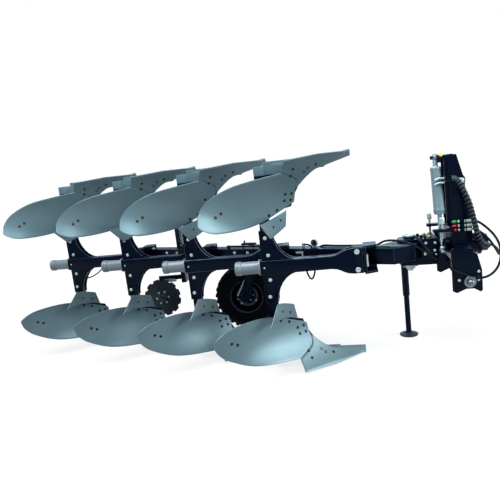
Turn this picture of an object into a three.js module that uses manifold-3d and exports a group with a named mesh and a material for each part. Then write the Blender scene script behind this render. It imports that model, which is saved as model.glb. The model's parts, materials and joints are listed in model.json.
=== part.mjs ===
// Mounted four-furrow reversible plough, millimetres.
// X points forward along the travel, Y to the land side, Z up. While it is built, the origin is
// the rear end of the first arm on the arm's axis; the last lines move it to the ground.
import * as THREE from 'three';
import { mergeVertices } from 'three/addons/utils/BufferGeometryUtils.js';
import Module from 'manifold-3d';

const wasm = await Module();
wasm.setup();

// Whole plough
const bodyCount = 4;
const bodySpacing = 850;
const furrowWidth = 360;
const seatGap = 0.3;
const overrun = 5;
const roundSides = 20;
const smallSides = 12;
const wheelSides = 28;
const bearingSides = 20;
const resetSides = 16;
const hoseSides = 8;

// Depths below the arm axis, as shares of the depth of the share's nose
const bodyDepth = 992;
const depthShares = {
  surfaceUpright: 0.4536,
  wingUpright: 0.5544,
  mouldTail: 0.5645,
  mouldWingTop: 0.4335,
  mouldCrest: 0.4415,
  mouldShinTop: 0.5897,
  mouldWingLow: 0.7208,
  mouldBelly: 0.8185,
  seamRear: 0.8750,
  seamFront: 0.7984,
  seamTop: 0.7107,
  shareHeel: 0.9829,
  shareNotch: 1.0060,
  shareNoseTop: 0.9597,
  shareShin: 0.8669,
  pointRearTop: 0.8690,
  pointRearLow: 0.9425,
  pointTipTop: 0.9496,
  pointTipLow: 1.0020,
  trashFoot: 0.5262,
  trashBend: 0.4556,
  trashWing: 0.4657,
  trashTopFront: 0.3790,
  trashTopBend: 0.3246,
  trashTopWing: 0.3044,
  legBottom: 0.9526,
  frogTop: 0.5091,
  frogFront: 0.9123,
  frogNeck: 0.5645,
  landsideTop: 0.8790,
  landsideLow: 0.9879,
  spacerTop: 0.9022,
  spacerLow: 0.9627,
  trashStayTop: 0.3881,
  trashStayLow: 0.4405,
  seatCutTop: 0.4597,
  seatCutLow: 1.0383,
};
const depthOf = Object.fromEntries(
  Object.entries(depthShares).map(([corner, part]) => [corner, part * bodyDepth]));

// Working surface of a body, described by its depth below the arm axis
const surfaceCutSlope = 0.9;
const surfaceCrossX = 300;
const surfaceCrossY = 10;
const surfaceCurlRadius = 455;
const wingStartX = 150;
const wingTwistLength = 645;
const boardThickness = 10;
const shareThickness = 10;

// Mouldboard outline, as places along X and depths
const mouldTailX = -385;
const mouldTailEnd = 20;
const mouldWingTopX = -240;
const mouldCrestX = 50;
const mouldShinTopX = 372;
const mouldWingLowX = -305;
const mouldBellyX = -80;
const seamRearX = 305;
const seamFrontX = 412;
const seamTopX = 400;
const seamGap = 4;

// Share and its reversible point
const shareHeelX = 350;
const shareNotchX = 640;
const shareNoseX = 872;
const shareShinX = 590;
const pointRearX = 612;
const pointTipX = 925;
const pointThickness = 17;
const pointSink = 4;

// Trash board: foot along the mouldboard crest, then a wing out over the furrow
const trashThickness = 8;
const trashFootX = 300;
const trashFootY = 4;
const trashBendX = 152;
const trashBendY = -128;
const trashWingX = 106;
const trashWingY = -440;
const trashTopFrontX = 282;
const trashTopFrontY = -28;
const trashTopBendX = 205;
const trashTopBendY = -140;
const trashTopWingX = 160;
const trashTopWingY = -254;

// Arm
const armHalfHeight = 65;
const armWaistHalfHeight = 59;
const armHalfWidth = 58;
const armLength = 952;
const armFlareStart = 660;
const armFlareEnd = 868;
const armNoseHalfHeight = 118;
const armPinX = 904;
const armPinZ = 84;
const armPinRadius = 18;
const armPinHeadRadius = 23;
const armPinHeadDepth = 6;
const seatLift = 11;
const forkDepth = 155;
const forkHalfWidth = 32;
const forkClearance = 0.6;
const cheekInner = 30.3;
const cheekThickness = 17;
const cheekRearX = 20;
const cheekReach = 354;
const cheekEndX = 135;
const cheekWaistX = 172;
const cheekWaistZ = 205;
const cheekFootX = 338;
const legBoltRadius = 14;
const legBoltHeight = 6;
const legBoltXs = [98, 78];
const legBoltZs = [119, 283];

// Leg, frog and landside of a body
const legHalfWidth = 30;
const legRearX = 34;
const legFrontX = 128;
const legTopZ = 72;
const frogInnerY = 26;
const frogThickness = 26;
const frogFrontX = 700;
const frogNeckX = 400;
const landsideY = 150;
const landsideThickness = 12;
const landsideRearX = 96;
const landsideFrontX = 720;
const spacerRearX = 190;
const spacerFrontX = 470;
const trashStayX = 222;
const trashStayWidth = 46;
const trashStayEndY = -130;
const seatCutFront = 180;
const seatCutRearX = -60;
const seatCutFrontX = 960;

// Reset cylinder on the rear end of an arm
const resetFlangeRadius = 77;
const resetFlangeLength = 16;
const resetBarrelRadius = 54;
const resetCapRadius = 67;
const resetCapLength = 62;
const resetLength = 248;
const resetChamfer = 6;

// Main beam, a diagonal square tube
const beamHalf = 75;
const beamRefX = 930;
const beamRefY = 210;
const beamRearX = -1760;
const beamFrontX = 1235;
const hingePinX = 1410;
const turnY = 330;
const kneeRadius = 118;
const kneeShoulderX = 1430;
const kneeShoulderY = 96;
const kneeNoseX = 1522;
const kneeNoseY = 262;
const kneeBackX = 1352;
const kneeBackY = 432;
const kneeRootX = 1110;
const tongueHalfWidth = 30;
const tongueBackX = 872;
const yokePlateX = 966;
const yokePlateThickness = 20;
const yokeHalfHeight = 122;
const yokeNearY = -62;
const yokeFarY = 150;
const gussetThickness = 18;
const gussetFrontX = 1085;
const gussetNoseY = -8;

// Turnover head with its shaft, and the pin that the beam swings on
const clevisGap = 1;
const clevisThickness = 25;
const clevisHalfWidth = 130;
const clevisRearRadius = 112;
const clevisFrontX = 1655;
const clevisWebX = 1560;
const hingePinRadius = 38;
const washerRadius = 54;
const washerHeight = 16;
const pinHeadHeight = 10;
const nutRadius = 46;
const nutHeight = 42;
const pinTailLength = 34;
const shaftRadius = 75;
const shaftEndX = 2026;
const crankRadius = 140;
const crankEyeRadius = 36;
const crankThickness = 14;
const neckRadius = 55;
const frontLugInner = 178.5;
const frontLugRearX = 1676;
const frontLugWebHalf = 40;
const rodEyeX = 1672;
const rodEyeWidth = 34;
const crankPlay = 4;
const stopLugInner = 118;
const stopLugOuter = 212;
const stopLugRearX = 1612;
const stopLugHalfHeight = 100;

// Parking stand
const standX = 1388;
const standY = 700;
const sleeveRadius = 36;
const sleeveTopZ = -105;
const sleeveBottomZ = -575;
const standRadius = 28;
const standTopZ = -160;
const standFootRadius = 95;
const standFootHeight = 14;
const standFootTaper = 16;
const standBracketWidth = 90;

// Headstock
const bearingOuter = 97;
const bearingRearX = 1765;
const bearingFrontX = 2034;
const bearingRingRadius = 108;
const bearingRingLength = 16;
const swivelRadius = 80;
const swivelLength = 62;
const cheekOffset = 400;
const cheekPlate = 25;
const cheekPlateRearX = 1716;
const cheekPlateFrontX = 1968;
const cheekTopRearZ = 45;
const cheekTopFrontZ = -16;
const cheekShoulderZ = -160;
const cheekLowZ = -362;
const cheekNotch = 34;
const crossRearX = 1782;
const crossFrontX = 1902;
const crossTopZ = 30;
const crossLowZ = -118;
const rearPlateThickness = 20;
const rearPlateHalfWidth = 236;
const rearPlateTopZ = 192;
const towerHalf = 82;
const towerPlate = 18;
const towerRearX = 1782;
const towerTopX = 1862;
const towerTopZ = 852;
const towerElbowX = 1925;
const towerElbowZ = 610;
const towerKneeX = 1932;
const towerKneeZ = 400;
const towerFootX = 1972;
const towerFootZ = 215;
const towerWebThickness = 16;
const topLinkX = 1885;
const topLinkZ = 612;
const topLinkBossRadius = 44;
const topLinkBossHeight = 8;
const lowerBossX = 1870;
const lowerBossZ = 478;
const lowerBossRadius = 55;
const topLinkPinRadius = 16;
const topLinkPinOverhang = 34;
const topLinkKnobRadius = 27;
const linkX = 1862;
const linkZ = -262;
const linkShaftRadius = 30;
const linkFlangeRadius = 52;
const linkFlangeLength = 18;
const linkBallRadius = 34;
const linkPinRadius = 18.5;
const linkPinLength = 104;
const linkBallPlace = 46;
const stopScrewOffset = 190;
const stopArmRearX = 1606;
const stopArmHalfWidth = 34;
const stopArmThickness = 26;
const stopNearX = 1690;
const stopFarX = 1638;
const stopScrewRadius = 12;
const stopHeadRadius = 25;
const stopHeadHeight = 62;
const stopHeadZ = 236;
const stopFootZ = 100.6;
const couplerY = 205;
const couplerXs = [1832, 1936];
const couplerZs = [236, 196, 156];
const couplerRadius = 13;
const couplerRackX = 1872;
const couplerRackThickness = 22;
const couplerRackMargin = 22;

// Turnover cylinder
const cylinderTopZ = 853;
const cylinderEyeRadius = 34;
const cylinderPinRadius = 17;
const cylinderPinRearX = 1646;
const cylinderBarrelRadius = 50;
const barrelStart = 88;
const barrelLength = 440;
const barrelWall = 12;
const rodRadius = 21;
const rodHeadLength = 60;
const rodEyeRadius = 35;
const rodStemRadius = 17;

// Depth wheel on the land side
const wheelX = -385;
const wheelY = 1130;
const wheelZ = -562;
const tyreRadius = 370;
const tyreHalfWidth = 130;
const tyreShoulderRadius = 345;
const tyreBeadHalfWidth = 98;
const rimRadius = 194;
const rimHalfWidth = 104;
const rimWall = 8;
const rimDiscOffset = 34;
const rimDiscThickness = 12;
const hubRadius = 62;
const hubHalfLength = 62;
const axleRadius = 24;
const wheelPivotX = -205;
const wheelPivotRadius = 26;
const wheelArmY = 942;
const wheelArmThickness = 34;
const wheelArmPivotRadius = 62;
const wheelArmHubRadius = 52;
const wheelBracketHalf = 64;

// Disc coulters for the rear body
const coulterX = -1490;
const coulterY = 1250;
const coulterZ = 556;
const discRadius = 236;
const discThickness = 6;
const discNotches = 12;
const discNotchRadius = 24;
const discHubRadius = 52;
const discHubHalf = 20;
const coulterAxleRadius = 15;
const stalkX = -1172;
const stalkHalf = 28;
const stalkReach = 372;
const stalkNearY = 1196;
const coulterArmY = 1278;
const coulterArmThickness = 34;
const coulterArmHalf = 27;
const coulterArmTopZ = 318;
const coulterBossRadius = 40;

// Hoses and the fittings that they end on
const hoseRadius = 11;
const bundleRadius = 24;
const stubRadius = 15;
const stubLength = 16;
const towerStubX = 1802;
const towerStubY = 205;
const towerStubZ = 636;
const towerStubHalf = 28;
const sideStubX = 2082;
const frontStubY = 332;
const frontStubZ = -34;
const underStubX = 1886;
const underStubY = 62;
const headHoseX = 1592;
const headHoseZ = -30;
const hoseClipX = 1404;
const hoseClipLength = 16;
const hoseClipY = 240;
const bundleRoute = [
  [1802.3, 205, 636], [1828, 205, 636], [1858, 190, 610], [1892, 155, 530], [1928, 135, 425],
  [1952, 130, 320], [1972, 130, 215], [1994, 130, 110], [2034, 134, 30], [2078, 160, 2],
  [2082, 205, 0], [2082, 233.7, 0],
];
const greenRoute = [
  [1936.3, 205, 236], [1975, 205, 236], [2025, 196, 214], [2083, 172, 162], [2135, 145, 95],
  [2168, 122, 20], [2176, 104, -60], [2162, 88, -140], [2126, 74, -205], [2070, 64, -252],
  [2005, 60, -272], [1948, 60, -256], [1908, 62, -214], [1886, 62, -165], [1886, 62, -134.3],
];
const redRoute = [
  [1936.3, 205, 156], [1972, 205, 156], [2034, 196, 122], [2092, 188, 62], [2136, 192, -5],
  [2170, 208, -66], [2194, 240, -104], [2206, 280, -102], [2198, 314, -66], [2160, 332, -34],
  [2128.3, 332, -34],
];
const headRoute = [
  [1592, 183.7, -30], [1592, 162, -30], [1576, 140, -16], [1540, 130, 20], [1504, 142, 70],
  [1478, 176, 112], [1456, 216, 124], [1436, 240, 117], [1420.3, 240, 117],
];

// Finishes
const paint = { color: 0x10131f, roughness: 0.35, metalness: 0.1 };
const steelPaint = { color: 0x76868f, roughness: 0.38, metalness: 0.35 };
const resetPaint = { color: 0x9b9ba2, roughness: 0.4, metalness: 0.2 };
const zinc = { color: 0xb9c3bf, roughness: 0.35, metalness: 0.8 };
const chrome = { color: 0xd8dde0, roughness: 0.12, metalness: 1 };
const rubber = { color: 0x111214, roughness: 0.85, metalness: 0 };
const barrelPaint = { color: 0xb4b8ba, roughness: 0.35, metalness: 0.3 };
const rimPaint = { color: 0x1a1f2c, roughness: 0.4, metalness: 0.2 };
const hoseRubber = { color: 0x0e0f10, roughness: 0.6, metalness: 0 };
const discSteel = { color: 0x3a3f45, roughness: 0.45, metalness: 0.5 };

const group = new THREE.Group();

// Solids: closed meshes joined and cut
function toSolid(geometry) {
  const bare = geometry.index ? geometry.toNonIndexed() : geometry.clone();
  bare.deleteAttribute('normal');
  bare.deleteAttribute('uv');
  const merged = mergeVertices(bare, 1e-3);
  const points = merged.getAttribute('position').array;
  let triangles = Uint32Array.from(merged.index.array);
  if (signedVolume(points, triangles) < 0) triangles = triangles.reverse();
  const sheet = { numProp: 3, vertProperties: Float32Array.from(points), triVerts: triangles };
  return new wasm.Manifold(new wasm.Mesh(sheet));
}

function signedVolume(points, triangles) {
  let sum = 0;
  const corner = (k) => new THREE.Vector3().fromArray(points, 3 * k);
  for (let i = 0; i < triangles.length; i += 3) {
    const [a, b, c] = [corner(triangles[i]), corner(triangles[i + 1]), corner(triangles[i + 2])];
    sum += a.dot(b.cross(c));
  }
  return sum;
}

function toGeometry(solid) {
  const found = solid.getMesh();
  const geometry = new THREE.BufferGeometry();
  geometry.setAttribute('position', new THREE.BufferAttribute(found.vertProperties, found.numProp));
  geometry.setIndex(new THREE.BufferAttribute(found.triVerts, 1));
  geometry.computeVertexNormals();
  return geometry;
}

function join(first, ...rest) {
  return rest.reduce((sum, solid) => sum.add(solid), first);
}

function cut(first, ...rest) {
  return rest.reduce((sum, solid) => sum.subtract(solid), first);
}

function addMesh(name, solid, finish, x = 0, y = 0, z = 0) {
  const material = new THREE.MeshStandardMaterial(finish);
  const mesh = new THREE.Mesh(toGeometry(solid), material);
  mesh.name = name;
  mesh.position.set(x, y, z);
  group.add(mesh);
  return mesh;
}

// Basic bodies
function block(x0, x1, y0, y1, z0, z1) {
  const box = new THREE.BoxGeometry(Math.abs(x1 - x0), Math.abs(y1 - y0), Math.abs(z1 - z0));
  box.translate((x0 + x1) / 2, (y0 + y1) / 2, (z0 + z1) / 2);
  return toSolid(box);
}

function rod(axis, radius, from, to, u, v, sides = roundSides) {
  const bar = new THREE.CylinderGeometry(radius, radius, Math.abs(to - from), sides);
  const middle = (from + to) / 2;
  if (axis === 'x') bar.rotateZ(-Math.PI / 2).translate(middle, u, v);
  if (axis === 'y') bar.translate(u, middle, v);
  if (axis === 'z') bar.rotateX(Math.PI / 2).translate(u, v, middle);
  return toSolid(bar);
}

// A hole whose flats still clear a shaft of the given radius as it turns
function bore(axis, radius, from, to, u, v, sides = roundSides) {
  return rod(axis, (radius + seatGap) / Math.cos(Math.PI / sides), from, to, u, v, sides);
}

function ball(radius, x, y, z) {
  const sphere = new THREE.SphereGeometry(radius, smallSides, smallSides / 2);
  sphere.rotateZ(Math.PI / 2);
  return toSolid(sphere.translate(x, y, z));
}

// A profile of [radius, place] pairs turned about an axis through u, v
function turned(axis, profile, u, v, sides = roundSides) {
  const points = profile.map(([radius, place]) => new THREE.Vector2(radius, place));
  const lathe = new THREE.LatheGeometry(points, sides);
  if (axis === 'x') lathe.rotateZ(-Math.PI / 2).translate(0, u, v);
  if (axis === 'y') lathe.translate(u, 0, v);
  if (axis === 'z') lathe.rotateX(Math.PI / 2).translate(u, v, 0);
  return toSolid(lathe);
}

function outline(points) {
  const shape = new THREE.Shape();
  shape.setFromPoints(points.map(([x, y]) => new THREE.Vector2(x, y)));
  return shape;
}

// A plate whose outline lies in the X-Z plane, from y0 to y1
function sidePlate(shape, y0, y1, curveSegments = 6) {
  const depth = y1 - y0;
  const plate = new THREE.ExtrudeGeometry(shape, { depth, bevelEnabled: false, curveSegments });
  plate.rotateX(Math.PI / 2).translate(0, y1, 0);
  return toSolid(plate);
}

// A plate whose outline lies in the X-Y plane, from z0 to z1
function flatPlate(shape, z0, z1, curveSegments = 6) {
  const depth = z1 - z0;
  const plate = new THREE.ExtrudeGeometry(shape, { depth, bevelEnabled: false, curveSegments });
  plate.translate(0, 0, z0);
  return toSolid(plate);
}

// A curved plate: a grid of points, thickened along its normals from one offset to another
function curvedPlate(pointAt, columns, rows, front, back) {
  const grid = [];
  for (let i = 0; i <= columns; i++) {
    for (let j = 0; j <= rows; j++) grid.push(pointAt(i / columns, j / rows));
  }
  const at = (i, j) => grid[i * (rows + 1) + j];
  const normalAt = (i, j) => {
    const along = at(Math.min(i + 1, columns), j).clone().sub(at(Math.max(i - 1, 0), j));
    const across = at(i, Math.min(j + 1, rows)).clone().sub(at(i, Math.max(j - 1, 0)));
    const normal = along.cross(across).normalize();
    return normal.y < 0 ? normal.negate() : normal;
  };
  const positions = [];
  for (const offset of [front, back]) {
    for (let i = 0; i <= columns; i++) {
      for (let j = 0; j <= rows; j++) {
        const point = at(i, j).clone().addScaledVector(normalAt(i, j), offset);
        positions.push(point.x, point.y, point.z);
      }
    }
  }
  const side = (columns + 1) * (rows + 1);
  const index = (layer, i, j) => layer * side + i * (rows + 1) + j;
  const triangles = [];
  const quad = (a, b, c, d) => triangles.push(a, b, c, a, c, d);
  for (let i = 0; i < columns; i++) {
    for (let j = 0; j < rows; j++) {
      quad(index(0, i, j), index(0, i + 1, j), index(0, i + 1, j + 1), index(0, i, j + 1));
      quad(index(1, i, j), index(1, i, j + 1), index(1, i + 1, j + 1), index(1, i + 1, j));
    }
    quad(index(0, i, 0), index(1, i, 0), index(1, i + 1, 0), index(0, i + 1, 0));
    quad(index(0, i, rows), index(0, i + 1, rows), index(1, i + 1, rows), index(1, i, rows));
  }
  for (let j = 0; j < rows; j++) {
    quad(index(0, 0, j), index(0, 0, j + 1), index(1, 0, j + 1), index(1, 0, j));
    quad(index(0, columns, j), index(1, columns, j), index(1, columns, j + 1),
      index(0, columns, j + 1));
  }
  const plate = new THREE.BufferGeometry();
  plate.setAttribute('position', new THREE.Float32BufferAttribute(positions, 3));
  plate.setIndex(triangles);
  return toSolid(plate);
}

// Working surface: straight along the furrow slice, curled in height, its wing turned over
function surfaceY(x, depth) {
  const wing = Math.max(0, wingStartX - x) / wingTwistLength;
  const curl = (depth - depthOf.surfaceUpright) ** 2 / (2 * surfaceCurlRadius);
  const lean = wing * wing * (depth - depthOf.wingUpright);
  return surfaceCutSlope * (x - surfaceCrossX) + surfaceCrossY - curl + lean;
}

// A plate that follows the working surface between a lower and an upper edge
function surfacePlate(side, lower, upper, columns, rows, front, back) {
  const lowEdge = edgeCurve(lower);
  const highEdge = edgeCurve(upper);
  const pointAt = (s, t) => {
    const place = lowEdge(s).lerp(highEdge(s), t);
    return new THREE.Vector3(place.x, surfaceY(place.x, place.y), side * place.y);
  };
  return curvedPlate(pointAt, columns, rows, front, back);
}

// An edge through its points: smooth within a run, and each run fills its own columns
function edgeCurve(runs) {
  const total = runs.reduce((sum, run) => sum + run.columns, 0);
  const curves = runs.map(({ points }) => {
    const places = points.map(([x, depth]) => new THREE.Vector2(x, depth));
    return points.length === 2 ? new THREE.LineCurve(...places) : new THREE.SplineCurve(places);
  });
  return (s) => {
    let column = s * total;
    let i = 0;
    while (i < runs.length - 1 && column > runs[i].columns) column -= runs[i++].columns;
    return curves[i].getPoint(column / runs[i].columns);
  };
}

const seam = [[seamRearX, depthOf.seamRear], [seamFrontX, depthOf.seamFront],
  [seamTopX, depthOf.seamTop]];
const mouldLower = [{
  columns: 6,
  points: [[mouldTailX, depthOf.mouldTail + mouldTailEnd], [mouldWingLowX, depthOf.mouldWingLow],
    [mouldBellyX, depthOf.mouldBelly], [seamRearX, depthOf.seamRear]],
}, { columns: 4, points: seam }];
const mouldUpper = [{
  columns: 10,
  points: [[mouldTailX, depthOf.mouldTail - mouldTailEnd], [mouldWingTopX, depthOf.mouldWingTop],
    [mouldCrestX, depthOf.mouldCrest], [mouldShinTopX, depthOf.mouldShinTop]],
}];
const shareLower = [
  { columns: 4, points: [[shareHeelX, depthOf.shareHeel], [shareNotchX, depthOf.shareNotch]] },
  { columns: 4, points: [[shareNotchX, depthOf.shareNotch], [shareNoseX, bodyDepth]] },
];
const shareUpper = [
  { columns: 4, points: seam.map(([x, depth]) => [x + seamGap, depth + seamGap]) },
  {
    columns: 4,
    points: [[seamTopX + seamGap, depthOf.seamTop + seamGap], [shareShinX, depthOf.shareShin],
      [shareNoseX, depthOf.shareNoseTop]],
  },
];
const pointLower = [[pointRearX, depthOf.pointRearLow], [pointTipX, depthOf.pointTipLow]];
const pointUpper = [[pointRearX, depthOf.pointRearTop], [pointTipX, depthOf.pointTipTop]];

function mouldboard(side, front = 0, back = boardThickness) {
  return surfacePlate(side, mouldLower, mouldUpper, 10, 3, front, back);
}

function shareBlade(side, front, back) {
  return surfacePlate(side, shareLower, shareUpper, 8, 1, front, back);
}

function share(side) {
  const board = mouldboard(side);
  const blade = join(shareBlade(side, 0, shareThickness), sharePoint(side, 0));
  return cut(blade, board, board.translate([seatGap, 0, 0]));
}

function sharePoint(side, margin) {
  const rear = shareThickness - pointSink;
  const back = shareThickness + pointThickness + margin;
  const grown = (points, down) => [{
    columns: 2,
    points: points.map(([x, depth], i) => [x + (i * 2 - 1) * margin * 4, depth + down * margin * 4]),
  }];
  return surfacePlate(side, grown(pointLower, 1), grown(pointUpper, -1), 2, 1, rear, back);
}

function trashBoard(side, front, back) {
  const foot = new THREE.QuadraticBezierCurve3(
    new THREE.Vector3(trashFootX, trashFootY, side * depthOf.trashFoot),
    new THREE.Vector3(trashBendX, trashBendY, side * depthOf.trashBend),
    new THREE.Vector3(trashWingX, trashWingY, side * depthOf.trashWing),
  );
  const top = new THREE.QuadraticBezierCurve3(
    new THREE.Vector3(trashTopFrontX, trashTopFrontY, side * depthOf.trashTopFront),
    new THREE.Vector3(trashTopBendX, trashTopBendY, side * depthOf.trashTopBend),
    new THREE.Vector3(trashTopWingX, trashTopWingY, side * depthOf.trashTopWing),
  );
  return curvedPlate((s, t) => foot.getPoint(s).lerp(top.getPoint(s), t), 6, 1, front, back);
}

// Everything in front of the seat of the mouldboard and the share
function seatCutter(side) {
  const edge = (depth) => [{ columns: 1, points: [[seatCutRearX, depth], [seatCutFrontX, depth]] }];
  const back = shareThickness + seatGap;
  return surfacePlate(side, edge(depthOf.seatCutLow), edge(depthOf.seatCutTop), 5, 6, -seatCutFront, back);
}

function leg(side) {
  const bar = sidePlate(outline([
    [legRearX, side * legTopZ], [legFrontX, side * legTopZ],
    [legFrontX, side * depthOf.legBottom], [legRearX, side * depthOf.legBottom],
  ]), -legHalfWidth, legHalfWidth);
  const frog = sidePlate(outline([
    [legRearX, side * depthOf.frogTop], [legFrontX, side * depthOf.frogTop],
    [frogNeckX, side * depthOf.frogNeck], [frogFrontX, side * depthOf.frogFront],
    [frogFrontX, side * depthOf.legBottom], [legRearX, side * depthOf.legBottom],
  ]), frogInnerY, frogInnerY + frogThickness);
  const landside = block(landsideRearX, landsideFrontX, landsideY, landsideY + landsideThickness,
    side * depthOf.landsideTop, side * depthOf.landsideLow);
  const spacer = block(spacerRearX, spacerFrontX, frogInnerY + frogThickness / 2,
    landsideY + landsideThickness / 2, side * depthOf.spacerTop, side * depthOf.spacerLow);
  const stay = block(trashStayX - trashStayWidth / 2, trashStayX + trashStayWidth / 2,
    trashStayEndY, frogInnerY, side * depthOf.trashStayTop, side * depthOf.trashStayLow);
  const stayRoot = block(legRearX, trashStayX + trashStayWidth / 2, 0, frogInnerY + seatGap,
    side * depthOf.trashStayTop, side * depthOf.trashStayLow);
  const whole = join(bar, frog, landside, spacer, stay, stayRoot);
  const trashCut = trashBoard(side, -seatCutFront, trashThickness + seatGap);
  const boards = [mouldboard(side, -overrun, boardThickness + seatGap),
    shareBlade(side, -overrun, shareThickness + seatGap)];
  const backs = [mouldboard(side), share(side)].flatMap((board) => (
    [board, board.translate([0, seatGap, 0]), board.translate([seatGap, 0, 0])]));
  return cut(whole, seatCutter(side), trashCut, sharePoint(side, seatGap), ...boards, ...backs);
}

// Arm: hollow-section bar with a forked nose and two cheek plates for each leg
function arm() {
  const shape = new THREE.Shape();
  shape.moveTo(0, armHalfHeight);
  shape.lineTo(armFlareStart, armWaistHalfHeight);
  const reach = (armFlareEnd - armFlareStart) / 2;
  shape.bezierCurveTo(armFlareStart + reach, armWaistHalfHeight,
    armFlareEnd - reach, armNoseHalfHeight, armFlareEnd, armNoseHalfHeight);
  shape.lineTo(armLength, armNoseHalfHeight);
  shape.lineTo(armLength, -armNoseHalfHeight);
  shape.lineTo(armFlareEnd, -armNoseHalfHeight);
  shape.bezierCurveTo(armFlareEnd - reach, -armNoseHalfHeight,
    armFlareStart + reach, -armWaistHalfHeight, armFlareStart, -armWaistHalfHeight);
  shape.lineTo(0, -armHalfHeight);
  const bar = sidePlate(shape, -armHalfWidth, armHalfWidth, 5);
  const slotHalf = tongueHalfWidth + forkClearance;
  const slot = block(armLength - forkDepth, armLength + overrun, -slotHalf, slotHalf,
    -armNoseHalfHeight - overrun, armNoseHalfHeight + overrun);
  const parts = [cut(bar, slot)];
  for (const side of [-1, 1]) {
    for (const inner of [cheekInner, -cheekInner - cheekThickness]) {
      parts.push(sidePlate(cheekOutline(side), inner, inner + cheekThickness, 4));
    }
    parts.push(rod('y', armPinRadius, -armHalfWidth, armHalfWidth, armPinX, side * armPinZ,
      smallSides));
    parts.push(rod('y', armPinHeadRadius, -armHalfWidth - armPinHeadDepth, -armHalfWidth + overrun,
      armPinX, side * armPinZ, smallSides));
  }
  return cut(join(...parts), ...[-1, 1].map((side) => legSocket(side)));
}

// Slot for the leg between its cheek plates
function legSocket(side) {
  return block(legRearX - seatGap, legFrontX + seatGap, -cheekInner, cheekInner,
    side * (legTopZ - seatGap), side * (cheekReach + overrun));
}

function cheekOutline(side) {
  const shape = new THREE.Shape();
  const root = armHalfHeight - overrun;
  shape.moveTo(cheekRearX, side * root);
  shape.lineTo(cheekRearX, side * cheekReach);
  shape.lineTo(cheekEndX, side * cheekReach);
  shape.quadraticCurveTo(cheekEndX, side * (cheekReach + cheekWaistZ) / 2,
    cheekWaistX, side * cheekWaistZ);
  shape.quadraticCurveTo((cheekWaistX + cheekFootX) / 2 - root / 2, side * (root + overrun * 6),
    cheekFootX, side * root);
  return shape;
}

function resetCylinder() {
  const capStart = resetLength - resetCapLength;
  return turned('x', [
    [0, -seatGap], [resetFlangeRadius, -seatGap], [resetFlangeRadius, -resetFlangeLength],
    [resetBarrelRadius, -resetFlangeLength], [resetBarrelRadius, -capStart],
    [resetCapRadius, -capStart - resetChamfer], [resetCapRadius, -resetLength + resetChamfer],
    [resetCapRadius - resetChamfer, -resetLength], [0, -resetLength],
  ], 0, 0, resetSides);
}

for (let k = 1; k <= bodyCount; k++) {
  const x = -bodySpacing * (k - 1);
  const y = furrowWidth * (k - 1);
  addMesh(`arm_${k}`, arm(), paint, x, y);
  addMesh(`reset_cylinder_${k}`, resetCylinder(), resetPaint, x, y);
  for (const [place, side] of [['lower', -1], ['upper', 1]]) {
    addMesh(`leg_${place}_${k}`, leg(side), paint, x, y);
    addMesh(`mouldboard_${place}_${k}`, mouldboard(side), steelPaint, x, y);
    addMesh(`share_${place}_${k}`, share(side), steelPaint, x, y);
    addMesh(`trash_board_${place}_${k}`, trashBoard(side, 0, trashThickness), steelPaint, x, y);
  }
}

// Main beam with its knee and the yoke of each arm
const beamSlope = furrowWidth / bodySpacing;
const beamSecant = Math.hypot(1, beamSlope);
const beamMidY = (x) => beamRefY + (beamRefX - x) * beamSlope;
const beamNearY = (x) => beamMidY(x) - beamHalf * beamSecant;
const beamFarY = (x) => beamMidY(x) + beamHalf * beamSecant;

function yoke(k) {
  const y = furrowWidth * (k - 1);
  const x = -bodySpacing * (k - 1);
  const plate = block(x + yokePlateX, x + yokePlateX + yokePlateThickness, y + yokeNearY,
    y + yokeFarY, -yokeHalfHeight, yokeHalfHeight);
  const tongue = block(x + tongueBackX, x + yokePlateX + yokePlateThickness,
    y - tongueHalfWidth, y + tongueHalfWidth, -yokeHalfHeight, yokeHalfHeight);
  const seatRadius = armPinRadius + seatGap;
  const seats = [];
  const gussets = [];
  for (const side of [-1, 1]) {
    seats.push(bore('y', armPinRadius, y - armHalfWidth, y + armHalfWidth, x + armPinX,
      side * armPinZ, smallSides));
    seats.push(block(x + tongueBackX - overrun, x + armPinX, y - armHalfWidth, y + armHalfWidth,
      side * (armPinZ - seatRadius - seatLift), side * (armPinZ + seatRadius)));
    gussets.push(flatPlate(outline([
      [x + yokePlateX, y + yokeNearY], [x + gussetFrontX, y + gussetNoseY],
      [x + gussetFrontX, y + yokeFarY], [x + yokePlateX, y + yokeFarY],
    ]), side * yokeHalfHeight - gussetThickness / 2, side * yokeHalfHeight + gussetThickness / 2));
    gussets.push(block(x + yokePlateX + yokePlateThickness / 2, x + gussetFrontX,
      y + yokeFarY - gussetThickness, y + yokeFarY, 0, side * yokeHalfHeight));
  }
  return join(cut(join(plate, tongue), ...seats), ...gussets);
}

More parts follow.
